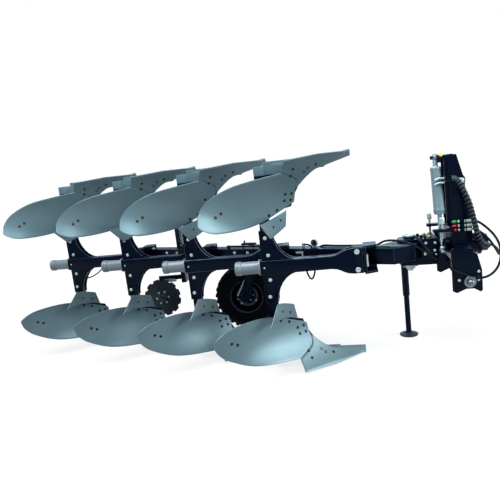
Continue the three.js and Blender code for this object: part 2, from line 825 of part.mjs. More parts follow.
function mainBeam() {
  const arcStart = Math.atan2(kneeNoseY - turnY, kneeNoseX - hingePinX);
  const arcEnd = Math.atan2(kneeBackY - turnY, kneeBackX - hingePinX);
  const shape = new THREE.Shape();
  shape.moveTo(beamRearX, beamNearY(beamRearX));
  shape.lineTo(beamFrontX, beamNearY(beamFrontX));
  shape.lineTo(kneeShoulderX, kneeShoulderY);
  shape.lineTo(hingePinX + kneeRadius * Math.cos(arcStart), turnY + kneeRadius * Math.sin(arcStart));
  shape.absarc(hingePinX, turnY, kneeRadius, arcStart, arcEnd, false);
  shape.lineTo(kneeRootX, beamFarY(kneeRootX));
  shape.lineTo(beamRearX, beamFarY(beamRearX));
  const tube = flatPlate(shape, -beamHalf, beamHalf, 12);
  const yokes = [];
  for (let k = 1; k <= bodyCount; k++) yokes.push(yoke(k));
  const wheelBracket = block(wheelPivotX - wheelBracketHalf, wheelPivotX + wheelBracketHalf,
    beamMidY(wheelPivotX), wheelArmY - seatGap, -wheelBracketHalf, wheelBracketHalf);
  const wheelPin = rod('y', wheelPivotRadius, wheelArmY - overrun,
    wheelArmY + wheelArmThickness + overrun, wheelPivotX, 0);
  const coulterPad = block(stalkX - stalkHalf, stalkX + stalkHalf, beamMidY(stalkX),
    stalkNearY - seatGap, -beamHalf, beamHalf);
  const hinge = bore('z', hingePinRadius, -beamHalf - overrun, beamHalf + overrun, hingePinX, turnY);
  return cut(join(tube, ...yokes, wheelBracket, wheelPin, coulterPad), hinge);
}

addMesh('main_beam', mainBeam(), paint);

// Turnover head
function turnoverHead() {
  const shape = new THREE.Shape();
  shape.moveTo(clevisFrontX, turnY - clevisHalfWidth);
  shape.lineTo(clevisFrontX, turnY + clevisHalfWidth);
  shape.lineTo(hingePinX, turnY + clevisRearRadius);
  shape.absarc(hingePinX, turnY, clevisRearRadius, Math.PI / 2, Math.PI * 1.5, false);
  const inner = beamHalf + clevisGap;
  const outer = inner + clevisThickness;
  const plates = [flatPlate(shape, inner, outer, 8), flatPlate(shape, -outer, -inner, 8)];
  const web = block(clevisWebX, clevisFrontX, turnY - clevisHalfWidth, turnY + clevisHalfWidth,
    -outer, outer);
  const pin = turned('z', [
    [0, -outer - nutHeight - pinTailLength], [hingePinRadius * 0.8, -outer - nutHeight - pinTailLength],
    [hingePinRadius * 0.8, -outer - nutHeight], [nutRadius, -outer - nutHeight],
    [nutRadius, -outer], [hingePinRadius, -outer], [hingePinRadius, outer],
    [washerRadius, outer], [washerRadius, outer + washerHeight],
    [hingePinRadius, outer + washerHeight], [hingePinRadius, outer + washerHeight + pinHeadHeight],
    [0, outer + washerHeight + pinHeadHeight],
  ], hingePinX, turnY);
  const crankFrontX = rodEyeX + rodEyeWidth + crankPlay;
  const neck = rod('x', neckRadius, clevisFrontX - overrun, crankFrontX + overrun, turnY, 0);
  const shaft = rod('x', shaftRadius, crankFrontX, shaftEndX, turnY, 0, bearingSides);
  const stopLug = block(stopLugRearX, clevisFrontX, turnY + stopLugInner, turnY + stopLugOuter,
    -stopLugHalfHeight, stopLugHalfHeight);
  const crank = crankEar(crankFrontX, crankFrontX + crankThickness);
  const frontLug = block(frontLugRearX, crankFrontX + crankThickness, turnY + frontLugInner,
    turnY + stopLugOuter, -stopLugHalfHeight, stopLugHalfHeight);
  const lugWeb = block(crankFrontX, crankFrontX + crankThickness, turnY, turnY + stopLugOuter,
    -frontLugWebHalf, frontLugWebHalf);
  const hoseStub = rod('y', stubRadius, turnY - clevisHalfWidth - stubLength,
    turnY - clevisHalfWidth + overrun, headHoseX, headHoseZ, smallSides);
  const clip = block(hoseClipX, hoseClipX + hoseClipLength, hoseClipY - stubRadius,
    hoseClipY + stubRadius, outer - overrun, outer + stubRadius * 2);
  return join(...plates, web, pin, neck, shaft, stopLug, crank, frontLug, lugWeb, hoseStub, clip,
    standSleeve());
}

// Crank ear of the turnover cylinder, beside the slab that its rod eye moves in
function crankEar(x0, x1) {
  const ear = rod('x', crankEyeRadius, x0, x1, turnY - crankRadius, 0, smallSides);
  const web = block(x0, x1, turnY - crankRadius, turnY, -crankEyeRadius, crankEyeRadius);
  return join(ear, web);
}

function standSleeve() {
  const tube = turned('z', [
    [standRadius + seatGap, sleeveBottomZ], [sleeveRadius, sleeveBottomZ],
    [sleeveRadius, sleeveTopZ], [standRadius + seatGap, sleeveTopZ],
    [standRadius + seatGap, sleeveBottomZ],
  ], standX, standY);
  const top = -beamHalf - clevisGap;
  const bracket = flatPlate(outline([
    [standX - standBracketWidth, turnY + clevisRearRadius - clevisThickness],
    [standX + standBracketWidth, turnY + clevisRearRadius - clevisThickness],
    [standX + standBracketWidth / 2, standY], [standX - standBracketWidth / 2, standY],
  ]), top - clevisThickness * 1.6, top - overrun);
  const hole = rod('z', sleeveRadius - overrun / 2, sleeveBottomZ, 0, standX, standY);
  return join(cut(bracket, hole), tube);
}

addMesh('turnover_head', turnoverHead(), paint);

function standLeg() {
  return turned('z', [
    [0, groundZ], [standFootRadius, groundZ], [standFootRadius, groundZ + standFootHeight],
    [standRadius * 1.4, groundZ + standFootHeight + standFootTaper],
    [standRadius, groundZ + standFootHeight + standFootTaper], [standRadius, standTopZ],
    [0, standTopZ],
  ], standX, standY);
}

const groundZ = share(-1).boundingBox().min[2];
addMesh('stand_leg', standLeg(), paint);

// Headstock: bearing tube, cheeks, cross member, tower and stop arms in one weldment
function headstock() {
  const bearing = rod('x', bearingOuter, bearingRearX, bearingFrontX, turnY, 0, bearingSides);
  const ring = rod('x', bearingRingRadius, bearingFrontX - overrun,
    bearingFrontX + bearingRingLength, turnY, 0, bearingSides);
  const swivel = rod('x', swivelRadius, bearingFrontX, bearingFrontX + bearingRingLength
    + swivelLength, turnY, 0);
  const cross = block(crossRearX, crossFrontX, turnY - cheekOffset, turnY + cheekOffset,
    crossLowZ, crossTopZ);
  const rearPlate = block(bearingRearX, bearingRearX + rearPlateThickness,
    turnY - rearPlateHalfWidth, turnY + rearPlateHalfWidth, crossLowZ, rearPlateTopZ);
  const parts = [bearing, ring, swivel, cross, rearPlate];
  const bores = [bore('x', shaftRadius, bearingRearX - overrun, shaftEndX + seatGap, turnY, 0,
    bearingSides)];
  for (const side of [-1, 1]) {
    const y = turnY + side * cheekOffset;
    parts.push(sidePlate(cheekPlateOutline(), y - cheekPlate / 2, y + cheekPlate / 2));
    const towerY = turnY + side * towerHalf;
    parts.push(sidePlate(towerOutline(), towerY - towerPlate / 2, towerY + towerPlate / 2));
    const face = towerY + side * towerPlate / 2;
    const bossEnd = face + side * topLinkBossHeight;
    parts.push(rod('y', topLinkBossRadius, towerY, bossEnd, topLinkX, topLinkZ));
    parts.push(rod('y', lowerBossRadius, towerY, bossEnd, lowerBossX, lowerBossZ));
    const armY = turnY + side * stopScrewOffset;
    parts.push(block(stopArmRearX, bearingRearX + rearPlateThickness, armY - stopArmHalfWidth,
      armY + stopArmHalfWidth, rearPlateTopZ - stopArmThickness, rearPlateTopZ));
    const screwX = side < 0 ? stopNearX : stopFarX;
    bores.push(bore('z', stopScrewRadius, 0, rearPlateTopZ + overrun, screwX, armY, smallSides));
  }
  parts.push(block(towerRearX, towerRearX + towerWebThickness, turnY - towerHalf,
    turnY + towerHalf, 0, towerTopZ));
  parts.push(rod('x', cylinderPinRadius, cylinderPinRearX, towerRearX + overrun, turnY,
    cylinderTopZ - cylinderPinRadius, smallSides));
  parts.push(...couplerRack(), ...hoseStubs());
  bores.push(bore('y', linkShaftRadius, turnY - cheekOffset - cheekPlate,
    turnY + cheekOffset + cheekPlate, linkX, linkZ, smallSides));
  bores.push(bore('y', topLinkPinRadius, turnY - towerHalf * 2, turnY + towerHalf * 2,
    topLinkX, topLinkZ, smallSides));
  return cut(join(...parts), ...bores);
}

function cheekPlateOutline() {
  const shape = new THREE.Shape();
  shape.moveTo(cheekPlateRearX, cheekTopRearZ - cheekNotch);
  shape.quadraticCurveTo(cheekPlateRearX, cheekTopRearZ, cheekPlateRearX + cheekNotch, cheekTopRearZ);
  shape.lineTo(cheekPlateFrontX - cheekNotch, cheekTopFrontZ);
  shape.lineTo(cheekPlateFrontX, cheekShoulderZ);
  shape.lineTo(cheekPlateFrontX, cheekLowZ + cheekNotch / 2);
  shape.lineTo(cheekPlateFrontX - cheekNotch / 2, cheekLowZ);
  shape.lineTo(linkX + cheekNotch, cheekLowZ + cheekNotch);
  shape.lineTo(linkX - cheekNotch, cheekLowZ + cheekNotch);
  shape.lineTo(cheekPlateRearX + cheekNotch, cheekLowZ);
  shape.lineTo(cheekPlateRearX, cheekLowZ + cheekNotch / 2);
  return shape;
}

function towerOutline() {
  return outline([
    [towerRearX, crossLowZ], [towerRearX, towerTopZ], [towerTopX, towerTopZ],
    [towerElbowX, towerElbowZ], [towerKneeX, towerKneeZ], [towerFootX, towerFootZ],
    [towerFootX, 0], [crossFrontX, crossLowZ],
  ]);
}

function couplerRack() {
  const plateTop = couplerZs[0] + couplerRackMargin;
  const plateLow = couplerZs[2] - couplerRackMargin;
  const rack = block(couplerRackX, couplerRackX + couplerRackThickness,
    couplerY - couplerRackMargin, turnY - towerHalf, plateLow, plateTop);
  const plugs = couplerZs.map((z) => rod('x', couplerRadius, ...couplerXs, couplerY, z, 8));
  return [rack, ...plugs];
}

// Fittings that the hoses end on: tower side, swivel cap and underside of the cross member
function hoseStubs() {
  const capFace = bearingFrontX + bearingRingLength + swivelLength;
  const tower = block(towerStubX - towerStubHalf * 2, towerStubX, towerStubY - towerStubHalf,
    turnY - towerHalf, towerStubZ - towerStubHalf, towerStubZ + towerStubHalf);
  const side = rod('y', stubRadius * 2, turnY - swivelRadius - stubLength, turnY, sideStubX, 0,
    smallSides);
  const front = rod('x', stubRadius, capFace - overrun, capFace + stubLength, frontStubY,
    frontStubZ, smallSides);
  const under = rod('z', stubRadius, crossLowZ - stubLength, crossLowZ + overrun, underStubX,
    underStubY, smallSides);
  return [tower, side, front, under];
}

addMesh('headstock_frame', headstock(), paint);

// Cross shaft with a flange and a ball outside each cheek, turned in one profile
function linkShaft() {
  const reach = cheekOffset + cheekPlate / 2 + seatGap;
  const half = [[linkShaftRadius, 0], [linkShaftRadius, reach], [linkFlangeRadius, reach],
    [linkFlangeRadius, reach + linkFlangeLength], [linkPinRadius, reach + linkFlangeLength]];
  const neckAngle = Math.asin(linkPinRadius / linkBallRadius);
  for (let i = 0; i <= 5; i++) {
    const angle = neckAngle + (Math.PI - 2 * neckAngle) * i / 5;
    half.push([linkBallRadius * Math.sin(angle),
      reach + linkBallPlace - linkBallRadius * Math.cos(angle)]);
  }
  half.push([linkPinRadius, reach + linkPinLength], [0, reach + linkPinLength]);
  const other = half.slice(1).reverse().map(([radius, place]) => [radius, -place]);
  const profile = [...other, ...half].map(([radius, place]) => [radius, turnY + place]);
  return turned('y', profile, linkX, linkZ, smallSides);
}

addMesh('lower_link_shaft', linkShaft(), zinc);

const topPinReach = towerHalf + towerPlate / 2 + topLinkBossHeight;
addMesh('top_link_pin', join(
  rod('y', topLinkPinRadius, turnY - topPinReach - topLinkPinOverhang,
    turnY + topPinReach + topLinkPinOverhang, topLinkX, topLinkZ, smallSides),
  ball(topLinkKnobRadius, topLinkX, turnY + topPinReach + topLinkKnobRadius, topLinkZ),
), zinc);

function stopScrew(x, y) {
  const shank = rod('z', stopScrewRadius, stopFootZ, stopHeadZ + overrun, x, y, smallSides);
  const head = rod('z', stopHeadRadius, stopHeadZ, stopHeadZ + stopHeadHeight, x, y, 6);
  return join(shank, head);
}

addMesh('stop_screw_right', stopScrew(stopNearX, turnY - stopScrewOffset), zinc);
addMesh('stop_screw_left', stopScrew(stopFarX, turnY + stopScrewOffset), zinc);

// Turnover cylinder, leaning from the tower top to the crank
const crankDrop = cylinderTopZ - cylinderPinRadius;
const cylinderLength = Math.hypot(crankDrop, crankRadius);
const cylinderLean = -Math.atan2(crankRadius, crankDrop);
const cylinderX = rodEyeX + rodEyeWidth / 2;

function cylinderBarrel() {
  const eyeHalf = rodEyeWidth / 2;
  const inner = (rodRadius + seatGap) / Math.cos(Math.PI / roundSides);
  const eye = rod('x', cylinderEyeRadius, -eyeHalf, eyeHalf, 0, 0, smallSides);
  const neck = rod('z', rodStemRadius, 0, -barrelStart - overrun, 0, 0, smallSides);
  const end = -barrelStart - barrelLength;
  const barrel = turned('z', [
    [0, -barrelStart], [cylinderBarrelRadius, -barrelStart], [cylinderBarrelRadius, end],
    [inner, end], [inner, -barrelStart - barrelWall], [0, -barrelStart - barrelWall],
  ], 0, 0);
  const pinBore = bore('x', cylinderPinRadius, -rodEyeWidth, rodEyeWidth, 0, 0, smallSides);
  return cut(join(eye, neck, barrel), pinBore);
}

function cylinderRod() {
  const eyeHalf = rodEyeWidth / 2;
  const top = -cylinderLength + rodHeadLength;
  const eye = rod('x', rodEyeRadius, -eyeHalf, eyeHalf, 0, -cylinderLength, smallSides);
  const stem = rod('z', rodStemRadius, -cylinderLength, top + overrun, 0, 0, smallSides);
  const rodTop = -barrelStart - barrelWall * 2 - crankRadius - overrun * 2;
  const bar = rod('z', rodRadius, top, rodTop, 0, 0, smallSides);
  const pinBore = rod('x', cylinderPinRadius, -rodEyeWidth, rodEyeWidth, 0, -cylinderLength,
    smallSides);
  return cut(join(eye, stem, bar), pinBore);
}

for (const [name, solid, finish] of [['turnover_cylinder_barrel', cylinderBarrel(), barrelPaint],
  ['turnover_cylinder_rod', cylinderRod(), chrome]]) {
  const mesh = addMesh(name, solid, finish, cylinderX, turnY, crankDrop);
  mesh.rotation.x = cylinderLean;
}

// Depth wheel
function tyre() {
  const halfTread = tyreHalfWidth * 0.78;
  const beadRadius = rimRadius + seatGap;
  return turned('y', [
    [beadRadius, wheelY - tyreBeadHalfWidth], [tyreShoulderRadius * 0.82, wheelY - tyreHalfWidth],
    [tyreShoulderRadius, wheelY - tyreHalfWidth * 0.93], [tyreRadius, wheelY - halfTread],
    [tyreRadius, wheelY + halfTread], [tyreShoulderRadius, wheelY + tyreHalfWidth * 0.93],
    [tyreShoulderRadius * 0.82, wheelY + tyreHalfWidth], [beadRadius, wheelY + tyreBeadHalfWidth],
    [beadRadius, wheelY - tyreBeadHalfWidth],
  ], wheelX, wheelZ, wheelSides);
}

function wheelRim() {
  const near = wheelY - rimHalfWidth;
  const far = wheelY + rimHalfWidth;
  const well = rimRadius - rimWall * 3;
  const barrel = turned('y', [
    [rimRadius - rimWall, near], [rimRadius, near], [rimRadius, far], [rimRadius - rimWall, far],
    [well, wheelY], [rimRadius - rimWall, near],
  ], wheelX, wheelZ, wheelSides);
  const web = rod('y', well + rimWall / 2, wheelY - rimDiscOffset,
    wheelY - rimDiscOffset + rimDiscThickness, wheelX, wheelZ, wheelSides);
  const hub = rod('y', hubRadius, wheelY - hubHalfLength, wheelY + hubHalfLength, wheelX, wheelZ);
  const hole = bore('y', axleRadius, wheelY - hubHalfLength * 2, wheelY + hubHalfLength - rimWall,
    wheelX, wheelZ);
  return cut(join(barrel, web, hub), hole);
}

function wheelArm() {
  const front = wheelArmY;
  const back = wheelArmY + wheelArmThickness;
  const pivot = rod('y', wheelArmPivotRadius, front, back, wheelPivotX, 0);
  const hub = rod('y', wheelArmHubRadius, front, back, wheelX, wheelZ);
  const run = new THREE.Vector2(wheelX - wheelPivotX, wheelZ);
  const across = new THREE.Vector2(-run.y, run.x).normalize();
  const corner = (x, z, reach) => [x + across.x * reach, z + across.y * reach];
  const bar = sidePlate(outline([
    corner(wheelPivotX, 0, wheelArmPivotRadius), corner(wheelPivotX, 0, -wheelArmPivotRadius),
    corner(wheelX, wheelZ, -wheelArmHubRadius), corner(wheelX, wheelZ, wheelArmHubRadius),
  ]), front, back);
  const axle = rod('y', axleRadius, back - overrun, wheelY + hubHalfLength - rimWall - seatGap * 2,
    wheelX, wheelZ);
  const hole = bore('y', wheelPivotRadius, front - overrun, back + overrun, wheelPivotX, 0);
  return cut(join(bar, pivot, hub, axle), hole);
}

addMesh('wheel_arm', wheelArm(), paint);
addMesh('wheel_rim', wheelRim(), rimPaint);
addMesh('tyre', tyre(), rubber);

// Disc coulters
function coulterDisc(side) {
  const shape = new THREE.Shape();
  const step = 2 * Math.PI / discNotches;
  const bite = discNotchRadius / discRadius;
  for (let i = 0; i < discNotches; i++) {
    const angle = i * step;
    const inner = discRadius - discNotchRadius * 0.7;
    const from = new THREE.Vector2(Math.cos(angle - bite), Math.sin(angle - bite));
    const to = new THREE.Vector2(Math.cos(angle + bite), Math.sin(angle + bite));
    if (i === 0) shape.moveTo(from.x * discRadius, from.y * discRadius);
    else shape.lineTo(from.x * discRadius, from.y * discRadius);
    shape.quadraticCurveTo(Math.cos(angle) * inner, Math.sin(angle) * inner,
      to.x * discRadius, to.y * discRadius);
    shape.lineTo(Math.cos(angle + step / 2) * discRadius, Math.sin(angle + step / 2) * discRadius);
  }
  const plate = sidePlate(shape, -discThickness / 2, discThickness / 2, 2);
  const hub = rod('y', discHubRadius, -discHubHalf, discHubHalf, 0, 0, smallSides);
  const hole = bore('y', coulterAxleRadius, 0, discHubHalf + overrun, 0, 0, smallSides);
  const disc = cut(join(plate, hub), hole);
  return addMesh(side < 0 ? 'coulter_disc_lower' : 'coulter_disc_upper', disc, discSteel,
    coulterX, coulterY, side * coulterZ);
}

function coulterBracket() {
  const far = coulterArmY + coulterArmThickness;
  const stalk = block(stalkX - stalkHalf, stalkX + stalkHalf, stalkNearY, far,
    -stalkReach, stalkReach);
  const parts = [stalk];
  for (const side of [-1, 1]) {
    const rear = coulterX - coulterArmHalf;
    const arm = sidePlate(outline([
      [stalkX, side * (coulterArmTopZ - coulterArmHalf)],
      [rear, side * (coulterArmTopZ - coulterArmHalf)],
      [rear, side * coulterZ], [rear + coulterArmHalf * 2, side * coulterZ],
      [rear + coulterArmHalf * 2, side * (coulterArmTopZ + coulterArmHalf * 2)],
      [rear + coulterArmHalf * 3, side * (coulterArmTopZ + coulterArmHalf)],
      [stalkX, side * (coulterArmTopZ + coulterArmHalf)],
    ]), coulterArmY, far);
    const boss = rod('y', coulterBossRadius, coulterArmY, far, coulterX, side * coulterZ, smallSides);
    const axle = rod('y', coulterAxleRadius, coulterY + seatGap, far - overrun, coulterX,
      side * coulterZ, smallSides);
    parts.push(arm, boss, axle);
  }
  return join(...parts);
}

addMesh('coulter_bracket', coulterBracket(), paint);
coulterDisc(-1);
coulterDisc(1);

// Hoses, each following its route between two fittings
const plough = new THREE.Group();
const rigidReach = new THREE.Box3().setFromObject(group);

function addHose(name, route, radius) {
  const path = new THREE.CatmullRomCurve3(route.map((place) => new THREE.Vector3(...place)));
  const steps = Math.round(path.getLength() / (radius * 6));
  const ring = new THREE.Shape().absarc(0, 0, radius, 0, 2 * Math.PI, false);
  const tube = new THREE.ExtrudeGeometry(ring, {
    steps, extrudePath: path, curveSegments: hoseSides, bevelEnabled: false,
  });
  return addMesh(name, toSolid(tube), hoseRubber);
}

addHose('hose_bundle', bundleRoute, bundleRadius);
addHose('hose_green', greenRoute, hoseRadius);
addHose('hose_red', redRoute, hoseRadius);
addHose('hose_head', headRoute, hoseRadius);

// The origin goes to the ground under the middle of the plough
const middle = rigidReach.getCenter(new THREE.Vector3());
group.position.set(-middle.x, -middle.y, -rigidReach.min.z);
plough.add(group);

export default plough;
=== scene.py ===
import json
import math

import bpy
from mathutils import Matrix, Vector

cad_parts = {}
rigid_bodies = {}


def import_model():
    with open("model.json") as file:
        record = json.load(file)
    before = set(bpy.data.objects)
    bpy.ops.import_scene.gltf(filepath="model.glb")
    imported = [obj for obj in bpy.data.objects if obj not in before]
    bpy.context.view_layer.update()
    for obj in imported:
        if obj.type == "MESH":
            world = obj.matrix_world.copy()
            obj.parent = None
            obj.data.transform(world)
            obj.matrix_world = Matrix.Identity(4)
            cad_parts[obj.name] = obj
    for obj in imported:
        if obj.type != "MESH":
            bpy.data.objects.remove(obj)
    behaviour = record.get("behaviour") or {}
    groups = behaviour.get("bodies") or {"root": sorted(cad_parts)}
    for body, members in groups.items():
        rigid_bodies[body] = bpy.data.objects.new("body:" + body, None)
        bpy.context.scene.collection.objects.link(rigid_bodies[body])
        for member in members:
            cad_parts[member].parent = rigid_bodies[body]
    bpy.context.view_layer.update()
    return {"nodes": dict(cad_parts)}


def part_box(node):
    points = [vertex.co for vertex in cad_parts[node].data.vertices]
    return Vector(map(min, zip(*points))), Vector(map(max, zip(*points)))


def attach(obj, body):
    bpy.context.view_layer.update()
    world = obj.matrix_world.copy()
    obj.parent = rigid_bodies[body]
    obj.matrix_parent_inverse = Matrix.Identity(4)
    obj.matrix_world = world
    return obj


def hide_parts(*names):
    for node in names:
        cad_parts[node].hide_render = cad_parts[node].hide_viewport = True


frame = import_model()

# Camera
# The plough is seen from its furrow side, a little from the front and from above, and the camera
# leans, as the plough in the picture stands on a slope. Places and sizes are in millimetres, from
# the rear end of the first arm, on its axis, which is found again from that arm's own box.
ARM_HALF_WIDTH = 58
BODY_STEP = Vector((-850, 360, 0))
arm_low, arm_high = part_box("arm_1")
ARM_ORIGIN = Vector((arm_low[0], arm_high[1] - ARM_HALF_WIDTH / 1000,
                     (arm_low[2] + arm_high[2]) / 2))


def at(x, y, z, body=1):
    """The place in metres, given from the rear end of an arm: forward, towards the land, up."""
    return ARM_ORIGIN + BODY_STEP * (body - 1) / 1000 + Vector((x / 1000, y / 1000, z / 1000))


CAMERA_YAW = 0.185
CAMERA_PITCH = 0.176
CAMERA_ROLL = -0.119
CAMERA_PLACE = at(837, -4936, 1069)
FOCAL_PIXELS = 536
PICTURE_PIXELS = 500
SENSOR_WIDTH = 36
look = Vector((-math.sin(CAMERA_YAW) * math.cos(CAMERA_PITCH),
               math.cos(CAMERA_YAW) * math.cos(CAMERA_PITCH), -math.sin(CAMERA_PITCH)))
level = Vector((math.cos(CAMERA_YAW), math.sin(CAMERA_YAW), 0))
upright = level.cross(look)
right = level * math.cos(CAMERA_ROLL) + upright * math.sin(CAMERA_ROLL)
top = upright * math.cos(CAMERA_ROLL) - level * math.sin(CAMERA_ROLL)
bpy.ops.object.camera_add()
camera = bpy.context.object
camera.matrix_world = Matrix.Translation(CAMERA_PLACE) @ Matrix(
    (right, top, -look)).transposed().to_4x4()
camera.data.sensor_width = SENSOR_WIDTH
camera.data.lens = FOCAL_PIXELS / PICTURE_PIXELS * SENSOR_WIDTH
camera.data.clip_end = 200
bpy.context.scene.camera = camera

# Rubber of the hoses
# Black hydraulic hose with a dull skin: fine pitting, and grey dust where it has been handled.
# The patterns below are groups, because paint, steel and rubber all use them.


def fill(tree, node, inputs):
    """Sets each input of a node, or wires it where the value is another node's output."""
    for socket, value in inputs.items():
        if isinstance(value, bpy.types.NodeSocket):
            tree.links.new(value, node.inputs[socket])
        else:
            node.inputs[socket].default_value = value
    return node


def wired(tree, kind, inputs, **settings):
    """A new shader node with its settings and its inputs."""
    node = tree.nodes.new(kind)
    for name, value in settings.items():
        setattr(node, name, value)
    return fill(tree, node, inputs)


def reckoned(tree, operation, first, second, **settings):
    """The result of a Math node."""
    return wired(tree, "ShaderNodeMath", {0: first, 1: second}, operation=operation,
                 **settings).outputs[0]


def pattern_group(name, inputs, outputs):
    """An empty group. An input without a value is a vector, and the outputs are numbers."""
    group = bpy.data.node_groups.new(name, "ShaderNodeTree")
    for label, value in inputs.items():
        kind = "NodeSocketVector" if value is None else "NodeSocketFloat"
        socket = group.interface.new_socket(name=label, in_out="INPUT", socket_type=kind)
        if value is not None:
            socket.default_value = value
    for label in outputs:
        group.interface.new_socket(name=label, in_out="OUTPUT", socket_type="NodeSocketFloat")
    given = group.nodes.new("NodeGroupInput").outputs
    result = group.nodes.new("NodeGroupOutput").inputs
    return group, given, result


# Mottle: broad noise with its contrast raised, as a mask from 0 to 1
mottle, given, result = pattern_group(
    "mottle", {"Vector": None, "Scale": 6.0, "Contrast": 1.0}, ["Mask"])
broad = wired(mottle, "ShaderNodeTexNoise", {
    "Vector": given["Vector"], "Scale": given["Scale"], "Detail": 5, "Roughness": 0.6})
centred = reckoned(mottle, "SUBTRACT", broad.outputs["Fac"], 0.5)
stretched = reckoned(mottle, "MULTIPLY", centred, given["Contrast"])
raised = reckoned(mottle, "ADD", stretched, 0.5, use_clamp=True)
mottle.links.new(raised, result["Mask"])

# Grain: fine height for a Bump node, with scratches drawn out along one direction
grain, given, result = pattern_group(
    "grain", {"Vector": None, "Fine": 300.0, "Drawn": 40.0}, ["Height", "Streaks"])
fine = wired(grain, "ShaderNodeTexNoise", {
    "Vector": given["Vector"], "Scale": given["Fine"], "Detail": 3})
drawn_out = wired(grain, "ShaderNodeVectorMath", {0: given["Vector"], 1: (0.08, 0.3, 1.0)},
                  operation="MULTIPLY")
streaks = wired(grain, "ShaderNodeTexNoise", {
    "Vector": drawn_out.outputs[0], "Scale": given["Drawn"], "Detail": 4, "Roughness": 0.7})
both = reckoned(grain, "ADD", fine.outputs["Fac"], streaks.outputs["Fac"])
grain.links.new(both, result["Height"])
grain.links.new(streaks.outputs["Fac"], result["Streaks"])

# Settled dust: a mask on faces that look up, broken by noise
dust, given, result = pattern_group(
    "settled dust", {"Vector": None, "Normal": None, "Amount": 0.3}, ["Mask"])
facing = wired(dust, "ShaderNodeSeparateXYZ", {0: given["Normal"]})
upward = wired(dust, "ShaderNodeMapRange", {
    "Value": facing.outputs["Z"], "From Min": -0.2, "From Max": 1.0})
cloud = wired(dust, "ShaderNodeTexNoise", {"Vector": given["Vector"], "Scale": 9, "Detail": 6})
broken = reckoned(dust, "MULTIPLY", upward.outputs[0], cloud.outputs["Fac"])
scaled = reckoned(dust, "MULTIPLY", broken, given["Amount"], use_clamp=True)
dust.links.new(scaled, result["Mask"])


def finish_material(name, slot_name, base, other, roughness, rough_spread=0.12, metallic=0.0,
                    scale=5.0, contrast=1.4, fine=320.0, drawn=30.0, bump=0.08, dust_amount=0.2,
                    dust_colour=(0.33, 0.3, 0.26), gloss=0.5, gloss_tint=(1, 1, 1)):
    """A finish of one base colour that drifts to another, with grain and settled dust.

    The slot name is not used.
    """
    material = bpy.data.materials.new(name)
    material.use_nodes = True
    tree = material.node_tree
    place = tree.nodes.new("ShaderNodeTexCoord").outputs["Object"]
    normal = tree.nodes.new("ShaderNodeNewGeometry").outputs["Normal"]
    patches = wired(tree, "ShaderNodeGroup", {
        "Vector": place, "Scale": scale, "Contrast": contrast}, node_tree=mottle)
    skin = wired(tree, "ShaderNodeGroup", {
        "Vector": place, "Fine": fine, "Drawn": drawn}, node_tree=grain)
    soil = wired(tree, "ShaderNodeGroup", {
        "Vector": place, "Normal": normal, "Amount": dust_amount}, node_tree=dust)
    drift = wired(tree, "ShaderNodeMix", {
        "Factor": patches.outputs["Mask"], "A": (*base, 1), "B": (*other, 1)}, data_type="RGBA")
    dusted = wired(tree, "ShaderNodeMix", {
        "Factor": soil.outputs["Mask"], "A": drift.outputs["Result"], "B": (*dust_colour, 1)},
        data_type="RGBA")
    polish = wired(tree, "ShaderNodeMapRange", {
        "Value": skin.outputs["Streaks"], "To Min": roughness - rough_spread,
        "To Max": roughness + rough_spread})
    relief = wired(tree, "ShaderNodeBump", {
        "Height": skin.outputs["Height"], "Strength": bump, "Distance": 0.001})
    fill(tree, tree.nodes["Principled BSDF"], {
        "Base Color": dusted.outputs["Result"], "Roughness": polish.outputs[0],
        "Normal": relief.outputs[0], "Metallic": metallic, "Specular IOR Level": gloss,
        "Specular Tint": (*gloss_tint, 1)})
    return material


hose_rubber = finish_material(
    "hose rubber", "hose", (0.0016, 0.003, 0.0056), (0.0034, 0.0056, 0.0096), 0.34,
    rough_spread=0.08, scale=30, fine=900, bump=0.06, dust_amount=0.01,
    dust_colour=(0.05, 0.06, 0.07), gloss=0.22, gloss_tint=(0.56, 0.8, 1.0))
guard_plastic = finish_material(
    "guard plastic", "hose", (0.03, 0.04, 0.06), (0.05, 0.064, 0.09), 0.3,
    rough_spread=0.06, scale=30, fine=900, bump=0.04, dust_amount=0.02,
    dust_colour=(0.1, 0.12, 0.14), gloss=0.4)

# Hoses
# Black hydraulic hoses with crimped ends. The bundle on the tower side is wrapped in a spiral
# guard, the green and the red capped hoses hang in loops before the headstock, and one more lies
# on the turnover head and turns with it.
BUNDLE_DIAMETER = 46
HOSE_DIAMETER = 22
GUARD_DIAMETER = 12
GUARD_TURN = 1.9
GUARD_STEPS = 4
bundle_route = [
    (1802.3, 205, 636), (1828, 205, 636), (1858, 190, 610), (1892, 155, 530), (1928, 135, 425),
    (1952, 130, 320), (1972, 130, 215), (1994, 130, 110), (2034, 134, 30), (2078, 160, 2),
    (2082, 205, 0), (2082, 233.7, 0)]
green_route = [
    (1936.3, 205, 236), (1975, 205, 236), (2025, 196, 214), (2083, 172, 162), (2135, 145, 95),
    (2168, 122, 20), (2176, 104, -60), (2162, 88, -140), (2126, 74, -205), (2070, 64, -252),
    (2005, 60, -272), (1948, 60, -256), (1908, 62, -214), (1886, 62, -165), (1886, 62, -134.3)]
red_route = [
    (1936.3, 205, 156), (1972, 205, 156), (2034, 196, 122), (2092, 188, 62), (2136, 192, -5),
    (2170, 208, -66), (2194, 240, -104), (2206, 280, -102), (2198, 314, -66), (2160, 332, -34),
    (2128.3, 332, -34)]
head_route = [
    (1592, 183.7, -30), (1592, 162, -30), (1576, 140, -16), (1540, 130, 20), (1504, 142, 70),
    (1478, 176, 112), (1456, 216, 124), (1436, 240, 117), (1420.3, 240, 117)]


